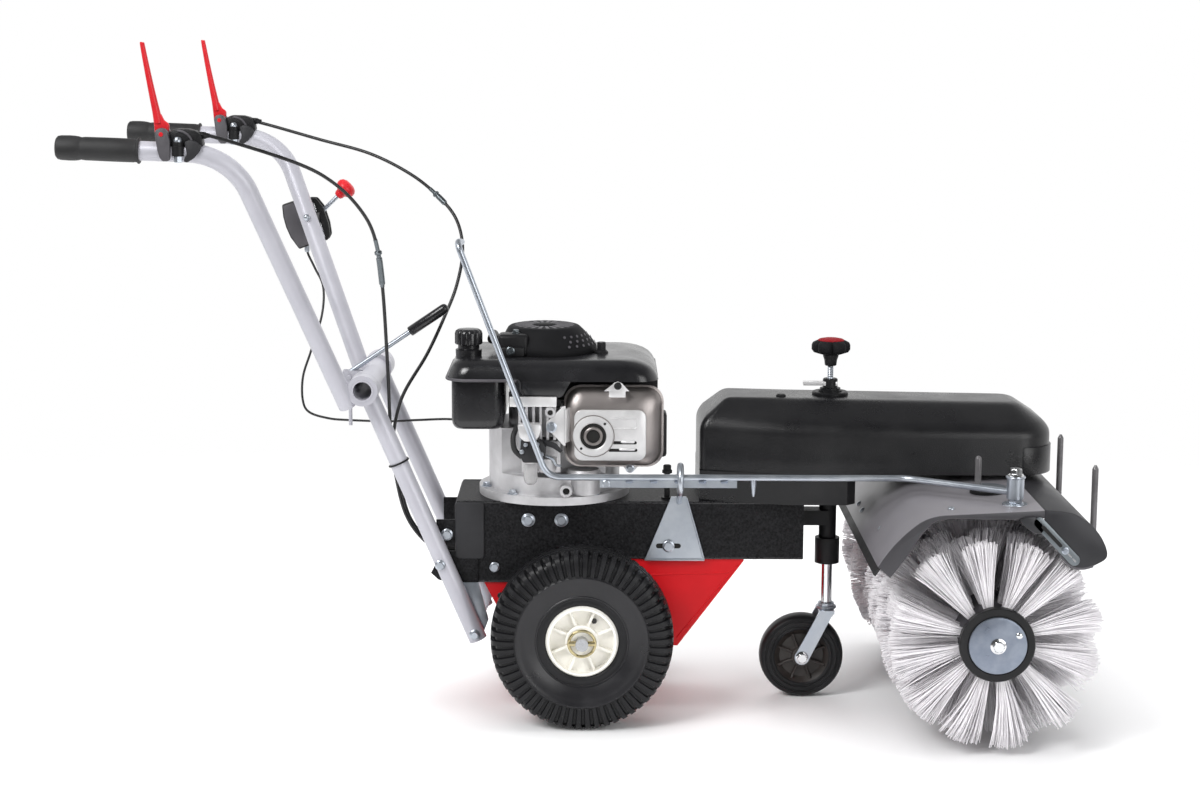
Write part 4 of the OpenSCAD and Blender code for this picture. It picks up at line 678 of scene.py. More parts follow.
# Cable adjusters along a share of the route: where each radius ends
ADJUSTER = ((0.3, 3.3), (0.38, 5.8), (0.46, 3.6), (0.95, 4.8), (1.1, 3.4))


def adjuster(name, route, start, end):
    pts = smooth_path(route, 40)
    last = len(pts) - 1
    pts = pts[int(start * last):int(end * last) + 1]
    shares = [i / (len(pts) - 1) for i in range(len(pts))]
    radii = [next(r for limit, r in ADJUSTER if f < limit) for f in shares]
    held(tube(name, pts, radii, "dull_zinc -", 14, 30), *LEVER_Z_SPAN)


adjuster("right_cable_adjuster", RIGHT_ROUTE, 0.385, 0.46)
adjuster("left_cable_adjuster", LEFT_ROUTE, 0.275, 0.315)

# Tie that holds the cables to the right lower tube
TUBE_LOW, TUBE_HIGH = Vector((-182, -105.5, 121)), Vector((-358, -105.5, 530))
TIE_Z, TIE_R, TIE_STEPS = 409, 16.0, 40


def tie(name):
    run = TUBE_HIGH - TUBE_LOW
    c = TUBE_LOW + run * ((TIE_Z - TUBE_LOW.z) / run.z)
    u = Vector(ACROSS)
    w = run.normalized().cross(u)
    pts = []
    for k in range(TIE_STEPS + 1):
        a = TURN * k / TIE_STEPS
        out = max(math.cos(a), 0)
        pts.append(c + u * (math.cos(a) * TIE_R + 20 * out ** 1.5) + w * math.sin(a) * (TIE_R - 3 * out))
    tube(name, pts, 1.6, "plastic", 8)


tie("cable_tie")

# Grips on the sloping tails of the upper tubes
GRIP_Y, GRIP_ENDS = 258, (-670, -794)
TAIL_X, TAIL_Z, TAIL_RISE, TAIL_RUN = -535, 902, 9.5, 255.0


def grips():
    for s, word in SIDES:
        a, b = (Vector((x, s * GRIP_Y, TAIL_Z + TAIL_RISE * (TAIL_X - x) / TAIL_RUN)) for x in GRIP_ENDS)
        end = (b - a).length
        prof = [
            (14.7, 0), (18.6, 0), (19.4, 0.8), (19.4, 2.4), (18.2, 3.4), (17.2, 4.4), (17.2, 8), (17.6, 9),
            (17.7, 40), (17.4, 80), (17.0, 84), (16.6, 86), (17.0, 88), (17.8, 91), (18.5, 97),
            (18.7, 104), (18.3, end - 8), (17.2, end - 3), (14.5, end - 0.6), (9, end), (0, end)]
        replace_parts(revolve("grip_" + word, prof, a, b - a, "rubber handle", 48), "grips")


grips()


# Brush ends: end ring, zinc disc, bolt and screw
def brush_ends():
    ring = [(12, 318), (56, 318), (57, 319.5), (57, 331), (55.5, 333), (46, 333), (45, 332), (12, 332)]
    disc = [(0, 336.6), (20, 336.6), (40, 336.2), (43.4, 335.6), (44, 334.6), (44, 332.2), (0, 332.2)]
    screw = [(0, 336), (5, 336), (5, 339), (3.6, 340.4), (0, 340.8)]
    for s, word in SIDES:
        out = (0, s, 0)
        bolt_at = BRUSH + Vector((0, s * 336.6, 0))
        for ob in (
                revolve("brush_ring_" + word, ring, BRUSH, out, "plastic brush core_plastic", 72, closed=True),
                revolve("brush_disc_" + word, disc, BRUSH, out, "blue_zinc brush", 72),
                hex_head("brush_bolt_" + word, bolt_at, out, "chrome brush", 12, 9, 7.4)):
            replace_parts(ob, "brush_end_rings")
        revolve("brush_screw_" + word, screw, BRUSH + Vector((31, 0, 17)), out, "chrome brush", 20, 40)


brush_ends()

# Caster wheel with ribs, cup over the fork and axle bolts
CASTER = Vector((345, 0, 69))
CASTER_SIDE = [
    (44, 15), (46, 16.6), (49, 17.4), (50, 16.4), (51.4, 16.4), (52.4, 17.8), (57, 18.6), (58, 17.6),
    (59.4, 17.6), (60.4, 18.8), (63.4, 18.6), (66, 16.5), (68.2, 11), (69, 4)]
CASTER_RIM = [
    (6.3, -20.4), (13, -20.4), (15.5, -19), (16.5, -10), (24, -7), (36, -7), (41, -12), (44.5, -15.6),
    (44.5, 15.6), (41, 12), (36, 7), (24, 7), (16.5, 10), (15.5, 19), (13, 20.4), (6.3, 20.4)]
STEM = Vector((385, 0, 0))
RIBS = 8


def caster():
    tread = [(42.5, -10)] + [(r, -y) for r, y in CASTER_SIDE] + list(reversed(CASTER_SIDE)) + [(42.5, 10)]
    for ob in (revolve("caster_tread", tread, CASTER, ACROSS, "tyre caster rubber", 72, 40, closed=True),
               revolve("caster_rim", CASTER_RIM, CASTER, ACROSS, "caster_rim caster", 72, closed=True)):
        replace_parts(ob, "caster_wheel")
    for k in range(RIBS):
        a = TURN * (k + 0.5) / RIBS
        d = Vector((math.cos(a), 0, math.sin(a)))
        for s, word in SIDES:
            pts = [CASTER + d * r + Vector((0, s * y, 0)) for r, y in ((15, 13), (28, 9.5), (41, 12.5))]
            tube("caster_rib_%d_%s" % (k, word[0]), smooth_path(pts, 4), 2.4, "caster_rim caster", 8)
    cup = [
        (9.8, 148), (16.5, 148), (17.2, 149.4), (16.5, 152), (13.2, 153), (13.2, 157), (12.2, 158),
        (9.8, 158)]
    revolve("caster_cup", cup, STEM, UP, "zinc fork", 40, closed=True)
    for s, word in SIDES:
        hex_head("caster_axle_bolt_" + word[0], CASTER + Vector((0, s * 25, 0)), (0, s, 0), "chrome fork",
                 10.5, 8.4, 7)


caster()

# Lever that locks the handle's tilt: hub, bar and smooth grip
LOCK_HUB, LOCK_ROOT, LOCK_TIP, LOCK_GRIP = (-394, 0, 531), Vector((-394, 0, 537)), Vector((-234, 0, 645)), 74


def tilt_lock():
    along = (LOCK_TIP - LOCK_ROOT).normalized()
    hub = [(4.1, -4.4), (8.2, -4.4), (9, -3.6), (9, 3.6), (8.2, 4.4), (4.1, 4.4)]
    bar = [LOCK_ROOT, LOCK_ROOT + along * 40, LOCK_TIP - along * 60]
    end = LOCK_GRIP
    grip = [
        (4.2, 0), (7.4, 0), (8.2, 1.2), (8.2, end - 8), (7.7, end - 4.6), (6.4, end - 2.2),
        (3.6, end - 0.5), (0, end)]
    for ob in (revolve("lock_hub", hub, LOCK_HUB, ACROSS, "zinc tilt_lock", 40, closed=True),
               tube("lock_bar", bar, 4.0, "zinc tilt_lock", 16),
               revolve("lock_grip", grip, LOCK_TIP - along * end, along, "satin tilt_lock rubber", 32, 40)):
        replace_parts(ob, "lock_lever")


tilt_lock()

# Throttle lever: hub in the box, stem and red knob
THROTTLE_HUB, THROTTLE_KNOB = Vector((-484, 287, 760)), Vector((-431, 287, 811))


def throttle_lever():
    along = (THROTTLE_KNOB - THROTTLE_HUB).normalized()
    hub = [(3.1, -8.4), (18.5, -8.4), (20, -7), (20, 7), (18.5, 8.4), (3.1, 8.4)]
    stem = [THROTTLE_HUB + along * 15, THROTTLE_HUB + along * 40, THROTTLE_KNOB + along * 2]
    knob = [(0, -15), (6.4, -15), (8.6, -11), (8.8, -7), (12.5, -4.5), (16.4, -0.5), (17.8, 4), (17.2, 8.5),
            (14.4, 12.6), (9, 15.4), (0, 16.4)]
    for ob in (revolve("throttle_hub", hub, THROTTLE_HUB, ACROSS, "plastic throttle", 48, closed=True),
               tube("throttle_stem", stem, 3.6, "zinc throttle", 16),
               revolve("throttle_knob", knob, THROTTLE_KNOB, along, "red throttle", 40, 40)):
        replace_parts(ob, "throttle_lever")


throttle_lever()


# Outlines set at a level, and levels mirrored to a side
def at_y(outline, y):
    return [(x, y, z) for x, z in outline]


def at_z(outline, z):
    return [(x, y, z) for x, y in outline]


def between(side, inner, outer):
    return sorted((side * inner, side * outer))


# Muffler: a pressed shell with a raised pad, outlet ring, louvres and bolted ears
OUTLET, PAD_Y = (1.5, 0, 456), -125.2
MUFFLER_LAYERS = [
    (34, 468, 74, 61, 22, -77), (34, 468, 76, 63, 24, -80), (34, 468, 76, 63, 24, -96.5),
    (34, 468, 78.5, 65.5, 26, -97.5), (34, 468, 78.5, 65.5, 26, -100), (34, 468, 75.5, 62.5, 25, -101),
    (33.5, 467.5, 74.5, 61.5, 25, -107), (32, 465.5, 71, 57.5, 24, -113), (30, 463, 65, 51, 22, -118),
    (28, 460.5, 59, 45, 19, -121.3), (27, 459, 55, 41, 16, -122.4)]


def muffler_outlet():
    ring = [(32, 118), (32, 127), (31, 128.6), (22, 128.6), (20.6, 127.4), (20.6, 118)]
    # A thin darker ring round the outlet ring: painted shadow line on the pad
    shade_ring = [(31.4, 124), (33.6, 124), (33.6, 125.6), (31.4, 125.6)]
    recess = [(0, 126.2), (20.7, 126.2), (20.7, 125), (0, 125)]
    pipe = [(15.4, 126), (14.6, 129.4), (13.6, 130), (11.2, 130), (10.4, 129), (10.4, 126)]
    dark = [(0, 127.4), (10.6, 127.4), (10.6, 126), (0, 126)]
    # The recess, the pipe's inside and the ring holes are dark discs: painted shade in the openings
    for name, prof, look, seg, closed in (
            ("outlet_ring", ring, "pad", 64, True), ("outlet_shade_ring", shade_ring, "muffler", 64, True),
            ("outlet_recess", recess, "dark_hole", 48, False), ("tail_pipe", pipe, "muffler", 48, True),
            ("pipe_dark", dark, "dark_hole", 32, False)):
        revolve(name, prof, OUTLET, TO_RIGHT, look, seg, closed=closed)
    for i, (x, z) in enumerate(((19.6, 476), (-17.4, 436.6))):
        prism("ring_hole_%d" % i, capsule(x, z, 4.4, 4.2), -128.9, -127, "dark_hole", bevel=0)


def muffler():
    rings = [at_y(rounded_rect(*plan), y) for *plan, y in MUFFLER_LAYERS]
    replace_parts(loft("muffler_shell", rings, "muffler", 40), "muffler")
    prism("muffler_pad", rounded_rect(28, 457, 56.5, 40.5, 13), PAD_Y, -119, "pad", bevel=2.0)
    rib = [(27, 484.5), (66, 484.5), (69.4, 483), (70.5, 479.5), (70.5, 472.5), (69.2, 469), (66, 467.8),
           (33, 467.8)]
    tube("pad_rib", at_y(rib, PAD_Y), 1.2, "pad", 8)
    for i, (x0, x1, z) in enumerate(((32, 70, 445.5), (25, 71, 433.5))):
        mid = (x0 + x1) / 2
        slot = capsule(mid, z, x1 - x0, 5.0)
        # Dark slot under each louvre: painted shade in the opening
        prism("louvre_slot_%d" % i, slot, PAD_Y - 0.25, PAD_Y + 1, "dark_hole", bevel=0)
        lip = [(x, PAD_Y, z + 1.4) for x in (mid - 6, mid - 4, x1 - 5, x1 - 3)]
        tube("louvre_%d" % i, lip, [0.6, 2.3, 2.3, 0.6], "pad", 10)
    # Dark holes in the shell's side: painted shade in the openings
    hole = [(0, 0), (2.1, 0), (2.1, 1.2), (0, 1.2)]
    for i, z in enumerate((496, 484, 472, 448, 436)):
        revolve("side_slot_%d" % i, hole, (-39.6, -107.6, z), (-0.86, -0.5, 0), "dark_hole", 16)
    ear = [(-42, 505), (-46, 504), (-72, 478), (-73, 471), (-69, 465), (-60, 458), (-46, 442), (-42, 441)]
    prism("muffler_ear", ear, -131, -128.2, "pad")
    prism("ear_web", [(-44, -131), (-41, -131), (-32, -110), (-36, -108)], 446, 500, "pad", "xy", 0.6)
    hex_head("ear_bolt", (-64, -131, 471), TO_RIGHT, "zinc", 8.5, 6, 5.5)
    prism("top_tab", [(18, 528), (34, 541), (39.7, 543.5), (45.5, 541), (58, 528)], -130, -127, "pad")
    block("top_tab_web", (26, -129, 518), (52, -110, 530), "pad", 1.2)
    hex_head("top_tab_bolt", (39.7, -130, 536.6), TO_RIGHT, "plastic", 6, 4.6, 5)
    prism("low_tab", [(46, 407), (54, 395), (60, 392.5), (66, 395), (76, 407)], -100, -97, "pad")
    hex_head("low_tab_bolt", (60, -100, 399.5), TO_RIGHT, "zinc", 7, 5.2, 5)
    block("muffler_guard", (86, -60, 410), (119, -20, 482), "plastic", 5)


muffler()
muffler_outlet()

# Engine: fuel tank with seam and cap, nuts on the shroud, bare plate, bosses and base bolts
CAP_AT, CRANK_X = (-197, -60, 0), -62
TANK = [(462, 11), (463, 7), (466, 3.4), (471, 1), (478, 0), (538, 0), (542, 0.6)]
SEAM_X, SEAM_Y, SEAM_Z = -125, 126.2, 543.6
BASE_BOLT_R, BASE_BOLT_DEG = 113, (195, 235, 305, 345, 60, 120)


def fuel_tank():
    rings = [at_z(rounded_rect(-181, 0, 41.5 - i, 110 - i, 17 - 0.6 * i), z) for z, i in TANK]
    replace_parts(loft("tank_shell", rings, "satin", 40), "fuel_tank")
    prism("tank_flange", rounded_rect(-178.5, 0, 50.5, 124.5, 33), 540.6, SEAM_Z, "satin", "xy", 0.6)
    seam = [p for p in rounded_rect(-62.5, 0, 167.6, SEAM_Y, 34, 8) if p[0] < SEAM_X]
    seam += [(x, s * SEAM_Y) for x in (-119, -160) for s in (RIGHT, LEFT)]
    seam.sort(key=lambda p: math.atan2(p[1], SEAM_X - p[0]))
    # The seam tube is grey as a painted highlight along the tank's lip
    tube("tank_seam_painted_highlight", at_z(seam, SEAM_Z), 2.4, "grey", 10)
    cap = [(17, 584, 0), (17, 592, 0), (20.5, 592.5, 0), (22, 594, 1), (22, 610, 1), (20.6, 614, 0.8),
           (17, 616.4, 0.3), (9, 617, 0)]
    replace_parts(lobed("cap_shell", cap, CAP_AT, 10, 2.6, "satin cap"), "fuel_cap")
    neck = [(14, 560), (20, 562), (21, 584), (17.5, 586), (14, 586)]
    revolve("filler_neck", neck, CAP_AT, UP, "satin", 48, 40)


def engine():
    for name, x, y in (("shroud_nut", 14, -30), ("shroud_nut_rear", -150, 62)):
        hex_head(name, (x, y, 573), UP, "plastic", 11, 8, 19)
    block("bare_plate", (-130, -132, 503), (-56, -127, 519), "pad", 1.4)
    head = [(0, 124), (8.5, 124), (8.5, 131), (7.6, 132), (4.4, 132), (4.2, 130), (0, 130)]
    base = [(0, 108), (10, 108), (10, 125), (9, 126), (5.6, 126), (5.4, 122), (0, 122)]
    for name, prof, x, z, hole, near, far in (("head_boss", head, -66, 494, 8.0, -131.2, -129.8),
                                              ("base_boss", base, -41, 367, 10.4, -122.4, -121.5)):
        revolve(name, prof, (x, 0, z), TO_RIGHT, "cast", 32)
        # Dark capsule on each boss: painted shade in its hole
        prism(name + "_hole", capsule(x, z, hole + 0.2, hole), near, far, "dark_hole", bevel=0)
    for i, deg in enumerate(BASE_BOLT_DEG):
        a = math.radians(deg)
        at = (CRANK_X + BASE_BOLT_R * math.cos(a), BASE_BOLT_R * math.sin(a), 356)
        hex_head("base_bolt_%d" % i, at, UP, "zinc", 8.5, 6.3, 7)


fuel_tank()
engine()


# Caster knob with its spindle, and the lock lever on the hood
def knob():
    thread = [q for h in range(531, 552, 3) for q in ((5.0, h), (4.4, h + 1.5))]
    spindle = [(0, 300), (5, 300), (5, 511), (6.8, 512), (6.8, 513.4), (5, 514), *thread, (5, 553), (0, 553)]
    neck = [(0, 551), (8.5, 551), (9.5, 552), (10.4, 560), (12.5, 566), (13, 574), (0, 574)]
    lobes = [(11, 568, 0), (20, 570.5, 0.4), (28, 573, 1), (31.2, 577.5, 1), (31.2, 584.5, 1),
             (29.4, 588.6, 0.9), (24, 591.4, 0.4), (21, 592, 0)]
    cap = [(21.4, 590.4), (21.4, 592.6), (19, 594.2), (12, 595.6), (0, 596.2)]
    for ob in (revolve("knob_spindle", spindle, STEM, UP, "zinc height_knob", 32),
               revolve("knob_neck", neck, STEM, UP, "plastic height_knob", 40, 40),
               lobed("knob_body", lobes, STEM, 6, 7.0, "matte height_knob"),
               revolve("knob_cap", cap, STEM, UP, "knob_red height_knob", 64, 40)):
        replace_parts(ob, "caster_knob")
    bar = [(341, -5.5), (372, -5.5), (374, -9), (396, -9), (396, 9), (374, 9), (372, 5.5), (341, 5.5)]
    collar = [(6.2, 515.4), (12, 515.4), (12, 528.4), (10.6, 530), (6.2, 530)]
    for ob in (prism("lock_bar_top", bar, 518.5, 525.5, "pad height_lock zinc", "xy"),
               revolve("lock_collar", collar, STEM, UP, "plastic height_lock zinc", 40, closed=True)):
        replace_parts(ob, "caster_lock")


knob()

# Squeeze levers with their clamps and cable barrels
LEVER_PIN_X, LEVER_PIN_Z, CLAMP_X, CLAMP_OUT = -635, 932, -611.5, 13
BAND_X, BAND_Z, BAND_R = -611, 916, 21
LEVER_BLADE = [
    (-637.5, 962), (-633, 952), (-626, 947), (-625.4, 941), (-628, 932), (-629.5, 926), (-635, 922.5),
    (-642, 923), (-646.5, 928), (-647.5, 940), (-649, 962)]
LEVER_ARM = [
    (-642, 948), (-644, 962), (-647.5, 980), (-652, 1004), (-657.5, 1035), (-662, 1062), (-662.4, 1066)]
ARM_RADII = [6.6 - 0.2 * i for i in range(18)] + [2]
BRACKET_TOP = [
    (-624, 936), (-616, 940), (-596, 939.5), (-586, 937), (-580, 934), (-577, 928), (-575, 915), (-582, 911),
    (-598, 912), (-624, 912)]
BRACKET_EAR = [
    (-644.5, 934), (-642, 939), (-636, 941.5), (-629, 940), (-625.5, 934), (-622.5, 922), (-622.5, 897),
    (-626, 892.5), (-634, 892.5), (-638.5, 898), (-641.5, 910)]
BRACKET_JAW = [
    (-601, 921), (-594, 924), (-584, 922), (-576.5, 915), (-580, 906), (-588, 897), (-598, 890.5),
    (-603, 892), (-602, 897), (-598, 903)]


def squeeze_lever(word, y):
    blade = prism("lever_blade_" + word, LEVER_BLADE, y - 4.2, y + 4.2, "red squeeze_" + word, bevel=2.2)
    arm = smooth_path(at_y(LEVER_ARM, y), 3)
    for ob in (blade, tube("lever_arm_" + word, arm, ARM_RADII, "red squeeze_" + word, 16)):
        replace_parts(ob, "lever_" + word)


def lever_bracket(word, y):
    top = prism("bracket_body_" + word, BRACKET_TOP, y - 12, y + 12, "plastic handle", bevel=2.5)
    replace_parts(top, "lever_brackets")
    for e, end in ((-1, "near"), (1, "far")):
        tag = "_%s_%s" % (word, end)
        ear, jaw = ([y + d for d in between(e, *levels)] for levels in ((4.5, 19), (9, 18.5)))
        prism("bracket_ear" + tag, BRACKET_EAR, *ear, "grey handle", bevel=2.0)
        prism("bracket_jaw" + tag, BRACKET_JAW, *jaw, "dark handle", bevel=2.0)
        pin = [(0, 16), (3.4, 16), (3.4, 19.6), (2.6, 20.2), (0, 20.2)]
        revolve("bracket_pin" + tag, pin, (LEVER_PIN_X, y, LEVER_PIN_Z), (0, e, 0), "red handle", 24)
        turns = [math.radians(t) for t in range(5, 100, 8)]
        band = [(BAND_X + BAND_R * math.cos(t), BAND_Z + BAND_R * math.sin(t)) for t in turns]
        tube("bracket_band" + tag, at_y(band, y + e * 12.4), 1.8, "grey handle", 8)
        for name, prof, z, look, seg, sharp in (
                ("post", [(9, 0), (9, 14), (8, 15), (8, 20), (7.4, 21)], 900, "plastic handle", 32, 30),
                ("screw", [(6.2, 0), (6.2, 2.4), (5.6, 5), (4, 7.2), (0, 8.2)], 920.5, "zinc handle", 32, 40),
                ("nut", [(5.2, 0), (6.4, 1), (6.4, 9), (5.2, 10)], 890.5, "zinc handle", 6, 20)):
            revolve("bracket_" + name + tag, prof, (CLAMP_X, y + e * CLAMP_OUT, z), UP, look, seg, sharp)


def cable_barrel(word, y):
    barrel = [(3.4, 0), (5.6, 0)]
    for k in range(6):
        h = 1.0 + 1.8 * k
        barrel += [(5.6, h), (5.0, h + 0.4), (5.0, h + 1.0), (5.6, h + 1.4)]
    barrel += [(4.6, 13), (3.6, 16), (3.2, 19), (0, 19)]
    revolve("cable_barrel_" + word, barrel, (-585, y, 930.6), (1, 0, -0.06), "plastic handle", 28)


for s, word in SIDES:
    for fitting in (squeeze_lever, lever_bracket, cable_barrel):
        fitting(word, s * GRIP_Y)


# Throttle box: two half shells with a slot for the lever, a grey side plate and a bright window strip
def throttle_box():
    shell = [
        (-536.3, 786), (-514.5, 793.3), (-488, 798.3), (-477.6, 798), (-465.4, 783), (-456.6, 755),
        (-453.8, 735), (-458.7, 726), (-486.6, 718), (-507.8, 710), (-522.3, 730), (-530, 748),
        (-534.6, 766)]
    for tag, low, high in (("near", 271, 279), ("far", 295, 302.5)):
        half = prism("throttle_shell_" + tag, shell, low, high, "plastic handle", bevel=2.2)
        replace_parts(half, "throttle_box")
    spine = shell[:2] + [(-510, 793), (-510, 740), (-500, 716)] + shell[9:]
    prism("throttle_spine", spine, 278, 296, "plastic handle", bevel=0.6)
    plate = [(-534, 784.5), (-515.6, 790.8), (-488.4, 720), (-507.3, 713), (-520.6, 731.4), (-528.2, 749.2),
             (-532.4, 766.5)]
    prism("throttle_plate", plate, 269.6, 271.5, "grey handle", bevel=0.6)
    strip = [(-484, 792), (-480.5, 789), (-462, 731), (-465.5, 730.5)]
    prism("throttle_strip", strip, 270, 271.6, "chrome handle", bevel=0.4)
    ferrule = [(3.0, 0), (4.6, 0), (4.6, 9), (3.8, 12)]
    revolve("throttle_ferrule", ferrule, (-496, 287, 716), (-0.02, 0, -1), "zinc handle", 20)
    head = [(0, 0), (5.6, 0), (5.6, 2), (4.6, 4.2), (2.5, 5.4), (0, 5.8)]
    revolve("throttle_bolt", head, (-484.5, 200.2, 771), TO_RIGHT, "zinc handle", 24, 40)
    block("throttle_arm", (-488, 216, 750), (-470, 272, 776), "plastic handle", 2)


throttle_box()

# Front flap: slotted rail along the lower edge of each cheek, curved hinge plate and a pale rolled lip
COVER_HALF, COVER_T, COVER_BULGE = 338, 3, 7
RAIL_X, RAIL_Z, RAIL_TILT = 691, 338, -46.5
HINGE = [
    (634, 371), (645, 375), (657, 376), (668, 366), (672, 356), (668, 349), (658, 350), (649, 355),
    (640, 363)]
FLAP_LIP = [
    (697, 317), (702, 311.5), (709, 303.5), (716, 299.4), (724, 297), (733, 296.6), (741, 298.4),
    (747, 300.4)]
PANEL_OUT, TOP_OUT = Vector((-0.71, 0, 0.70)), (-0.05, 0, 1)


def on_rail(t):
    a = math.radians(RAIL_TILT)
    return RAIL_X + math.cos(a) * t, RAIL_Z + math.sin(a) * t


def flap_fittings():
    face = COVER_HALF + COVER_T
    for s, word in SIDES:
        sheet, skim = between(s, COVER_HALF, face), between(s, face + 0.3, face - 1.2)
        prism("flap_rail_" + word, capsule(*on_rail(0), 96, 17, RAIL_TILT), *sheet, "dull_zinc head")
        # Dark patch for the rail's slot: painted shade in the opening
        slot = capsule(*on_rail(-11), 44, 5.4, RAIL_TILT)
        prism("rail_slot_" + word, slot, *skim, "dark_hole head black_paint", bevel=0)
        for k, t in enumerate((29, 39)):
            peg = capsule(*on_rail(t), 8, 2.4, RAIL_TILT)
            prism("rail_peg_%s_%d" % (word, k), peg, *skim, "chrome head", bevel=0)
        x, z = on_rail(19)
        hex_head("rail_bolt_" + word, (x, s * face, z), (0, s, 0), "zinc head", 5.5, 4.2, 4)
        prism("hinge_plate_" + word, HINGE, *sheet, "flap head")
        lip = smooth_path(at_y(FLAP_LIP, s * (COVER_HALF - 1)), 4)
        tube("flap_lip_" + word, lip, 2.2, "grey head graphite_paint", 10)
    screw = [(5, -2), (5, 1.0), (4.4, 2.2), (3, 3), (0, 3.2)]
    spots = [((x, s * y, z), PANEL_OUT) for s in (RIGHT, LEFT)
             for x, y, z in ((439, 25, 317), (446.6, 195, 324))]
    spots += [((539, s * 300, 378.4), TOP_OUT) for s in (RIGHT, LEFT)]
    for k, (at, out) in enumerate(spots):
        revolve("cover_screw_%d" % k, screw, at, out, "zinc head", 20, 40)


flap_fittings()

# Brush cover: bent sheet with a soft fold, and side cheeks whose lower edge curves up to the top
COVER_REAR, COVER_BEND, COVER_FRONT = Vector((426, 298)), Vector((503, 376)), Vector((672, 385))
BULGE_STEPS, FOLD_STEPS, FOLD_REACH = (0, 0.125, 0.25, 0.375, 0.5, 0.625, 0.75, 0.82), 8, 0.14
CHEEK_EDGE = [
    (672, 373), (654, 371.6), (628, 370.5), (577, 370.5), (540, 371.4), (526, 370.8), (514, 368), (505, 363),
    (498.7, 356.5), (491, 347), (483.4, 335.5), (475, 322), (465.6, 308), (455, 294), (445, 281)]
FLAP = [
    (672, 385), (698, 383.2), (717, 379.2), (732, 370.6), (745, 360), (757, 345), (765, 329), (767.4, 317),
    (763, 309), (746, 299.6)]
FLAP_EDGE = [
    (728, 296.5), (718, 299.5), (711, 304), (700, 315.5), (687, 336), (676, 352.5), (672.4, 361),
    (671.8, 374)]
BIN_Y, BIN_HALF, BIN_LOW, BIN_HIGH = 136, 15, 289, 294


def inside(outer):
    """The same path one sheet thickness further in."""
    last = len(outer) - 1
    steps = [(outer[min(i + 1, last)] - outer[max(i - 1, 0)]).normalized() for i in range(last + 1)]
    return [p + Vector((d.y, -d.x)) * COVER_T for p, d in zip(outer, steps)]


def bent_sheet(name, outer, edge, finish, cheek_finish, node):
    """Sheet bent along a path, with a cheek at each side down to the given edge."""
    inner = inside(outer)
    path = [tuple(p) for p in outer + inner[::-1]]
    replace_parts(prism(name + "_sheet", path, -COVER_HALF, COVER_HALF, finish + " head", bevel=0.5), node)
    rim = [tuple(p + (q - p) * 0.3) for p, q in zip(outer, inner)]
    for s, word in SIDES:
        levels = between(s, COVER_HALF + 0.6, COVER_HALF - COVER_T)
        cheek = prism("%s_cheek_%s" % (name, word), rim + edge, *levels, cheek_finish + " head", bevel=0.5)
        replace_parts(cheek, node)


def cover():
    along = COVER_BEND - COVER_REAR
    out = Vector((-along.y, along.x)).normalized()
    outer = [COVER_REAR + along * f + out * COVER_BULGE * 4 * f * (1 - f) for f in BULGE_STEPS]
    start, end = outer[-1], COVER_BEND + (COVER_FRONT - COVER_BEND) * FOLD_REACH
    for k in range(1, FOLD_STEPS):
        f = k / FOLD_STEPS
        outer.append(start * (1 - f) ** 2 + COVER_BEND * 2 * f * (1 - f) + end * f * f)
    # The cover's cheeks take the darker graphite as painted shade on the sides
    bent_sheet("cover", outer + [end, COVER_FRONT], CHEEK_EDGE, "cover", "cheek", "head_cover")
    bent_sheet("flap", smooth_path(FLAP, 4), FLAP_EDGE, "flap", "flap", "front_flap")
    web = [(748, BIN_LOW), (748, 302.4), (760.7, 313.8), (760.7, BIN_LOW)]
    for s, word in SIDES:
        a, b = between(s, BIN_Y - BIN_HALF, BIN_Y + BIN_HALF)
        prism("bin_web_" + word, web, a, b, "flap head", bevel=0.6)
        block("bin_plate_" + word, (748, a, BIN_LOW), (802, b, BIN_HIGH), "flap head", 1.2)


cover()

# Drive wheel hubs: raised hub, ribs and valve
VALVE_R, VALVE_TURN = 35, math.radians(57)


def wheel_fittings():
    hub = [(14, 196), (24, 197), (26, 199), (26, 205.4), (24, 207), (15, 207)]
    web = [(22, 186), (50, 188), (52, 190), (52, 184), (22, 184)]
    for s, word in SIDES:
        revolve("hub_cap_" + word, hub, AXLE, (0, s, 0), "rim axle", 48)
        revolve("rim_web_" + word, web, AXLE, (0, s, 0), "rim axle", closed=True)
        for k in range(RIBS):
            a = TURN * (k + 0.5) / RIBS
            d = Vector((math.cos(a), 0, math.sin(a)))
            ends = [AXLE + d * r + Vector((0, s * y, 0)) for r, y in ((25, 189), (38, 189), (51, 190))]
            tube("rim_rib_%s_%d" % (word, k), ends, 2.2, "rim axle", 8)
        at = AXLE + Vector((VALVE_R * math.cos(VALVE_TURN), s * 186, VALVE_R * math.sin(VALVE_TURN)))
        stem = [at, at + Vector((0, s * 6, 1)), at + Vector((0, s * 11, 2))]
        tube("valve_" + word, stem, [4.2, 4.2, 2.8], "rubber axle")


wheel_fittings()

# Belt hood: sloped upper band with rounded edges, skirt over the frame, front lip and collar flange
HOOD_REAR, HOOD_FRONT, HOOD_HALF, HOOD_TOP = 171, 732, 110, 507
HOOD_REAR_HALF, HOOD_TAPER, HOOD_NOSE, HOOD_CORNER = 78, 311, 60, 14
HOOD_PLAN = (HOOD_REAR, HOOD_FRONT, HOOD_REAR_HALF, HOOD_HALF, HOOD_NOSE, HOOD_CORNER)
HOOD_TOP_PLAN = (HOOD_REAR + 43, HOOD_FRONT - 50, 50, 50, 20, 6)
HOOD_BAND = [
    (392, 0), (394, 0), (452, 0), (458, 0.008), (463, 0.03), (468, 0.075), (473, 0.14), (479, 0.243),
    (499, 0.784), (502, 0.872), (504.3, 0.955), (505.9, 1.04), (506.8, 1.13), (507, 1.22)]
HOOD_FALL, FALL_FROM = 9, 430
HOOD_HOLE_R, HOOD_HOLE_Z = 10.6, HOOD_TOP - 3.6
NOSE_X, NOSE_MID, NOSE_OUT = 672, 662, 3.0


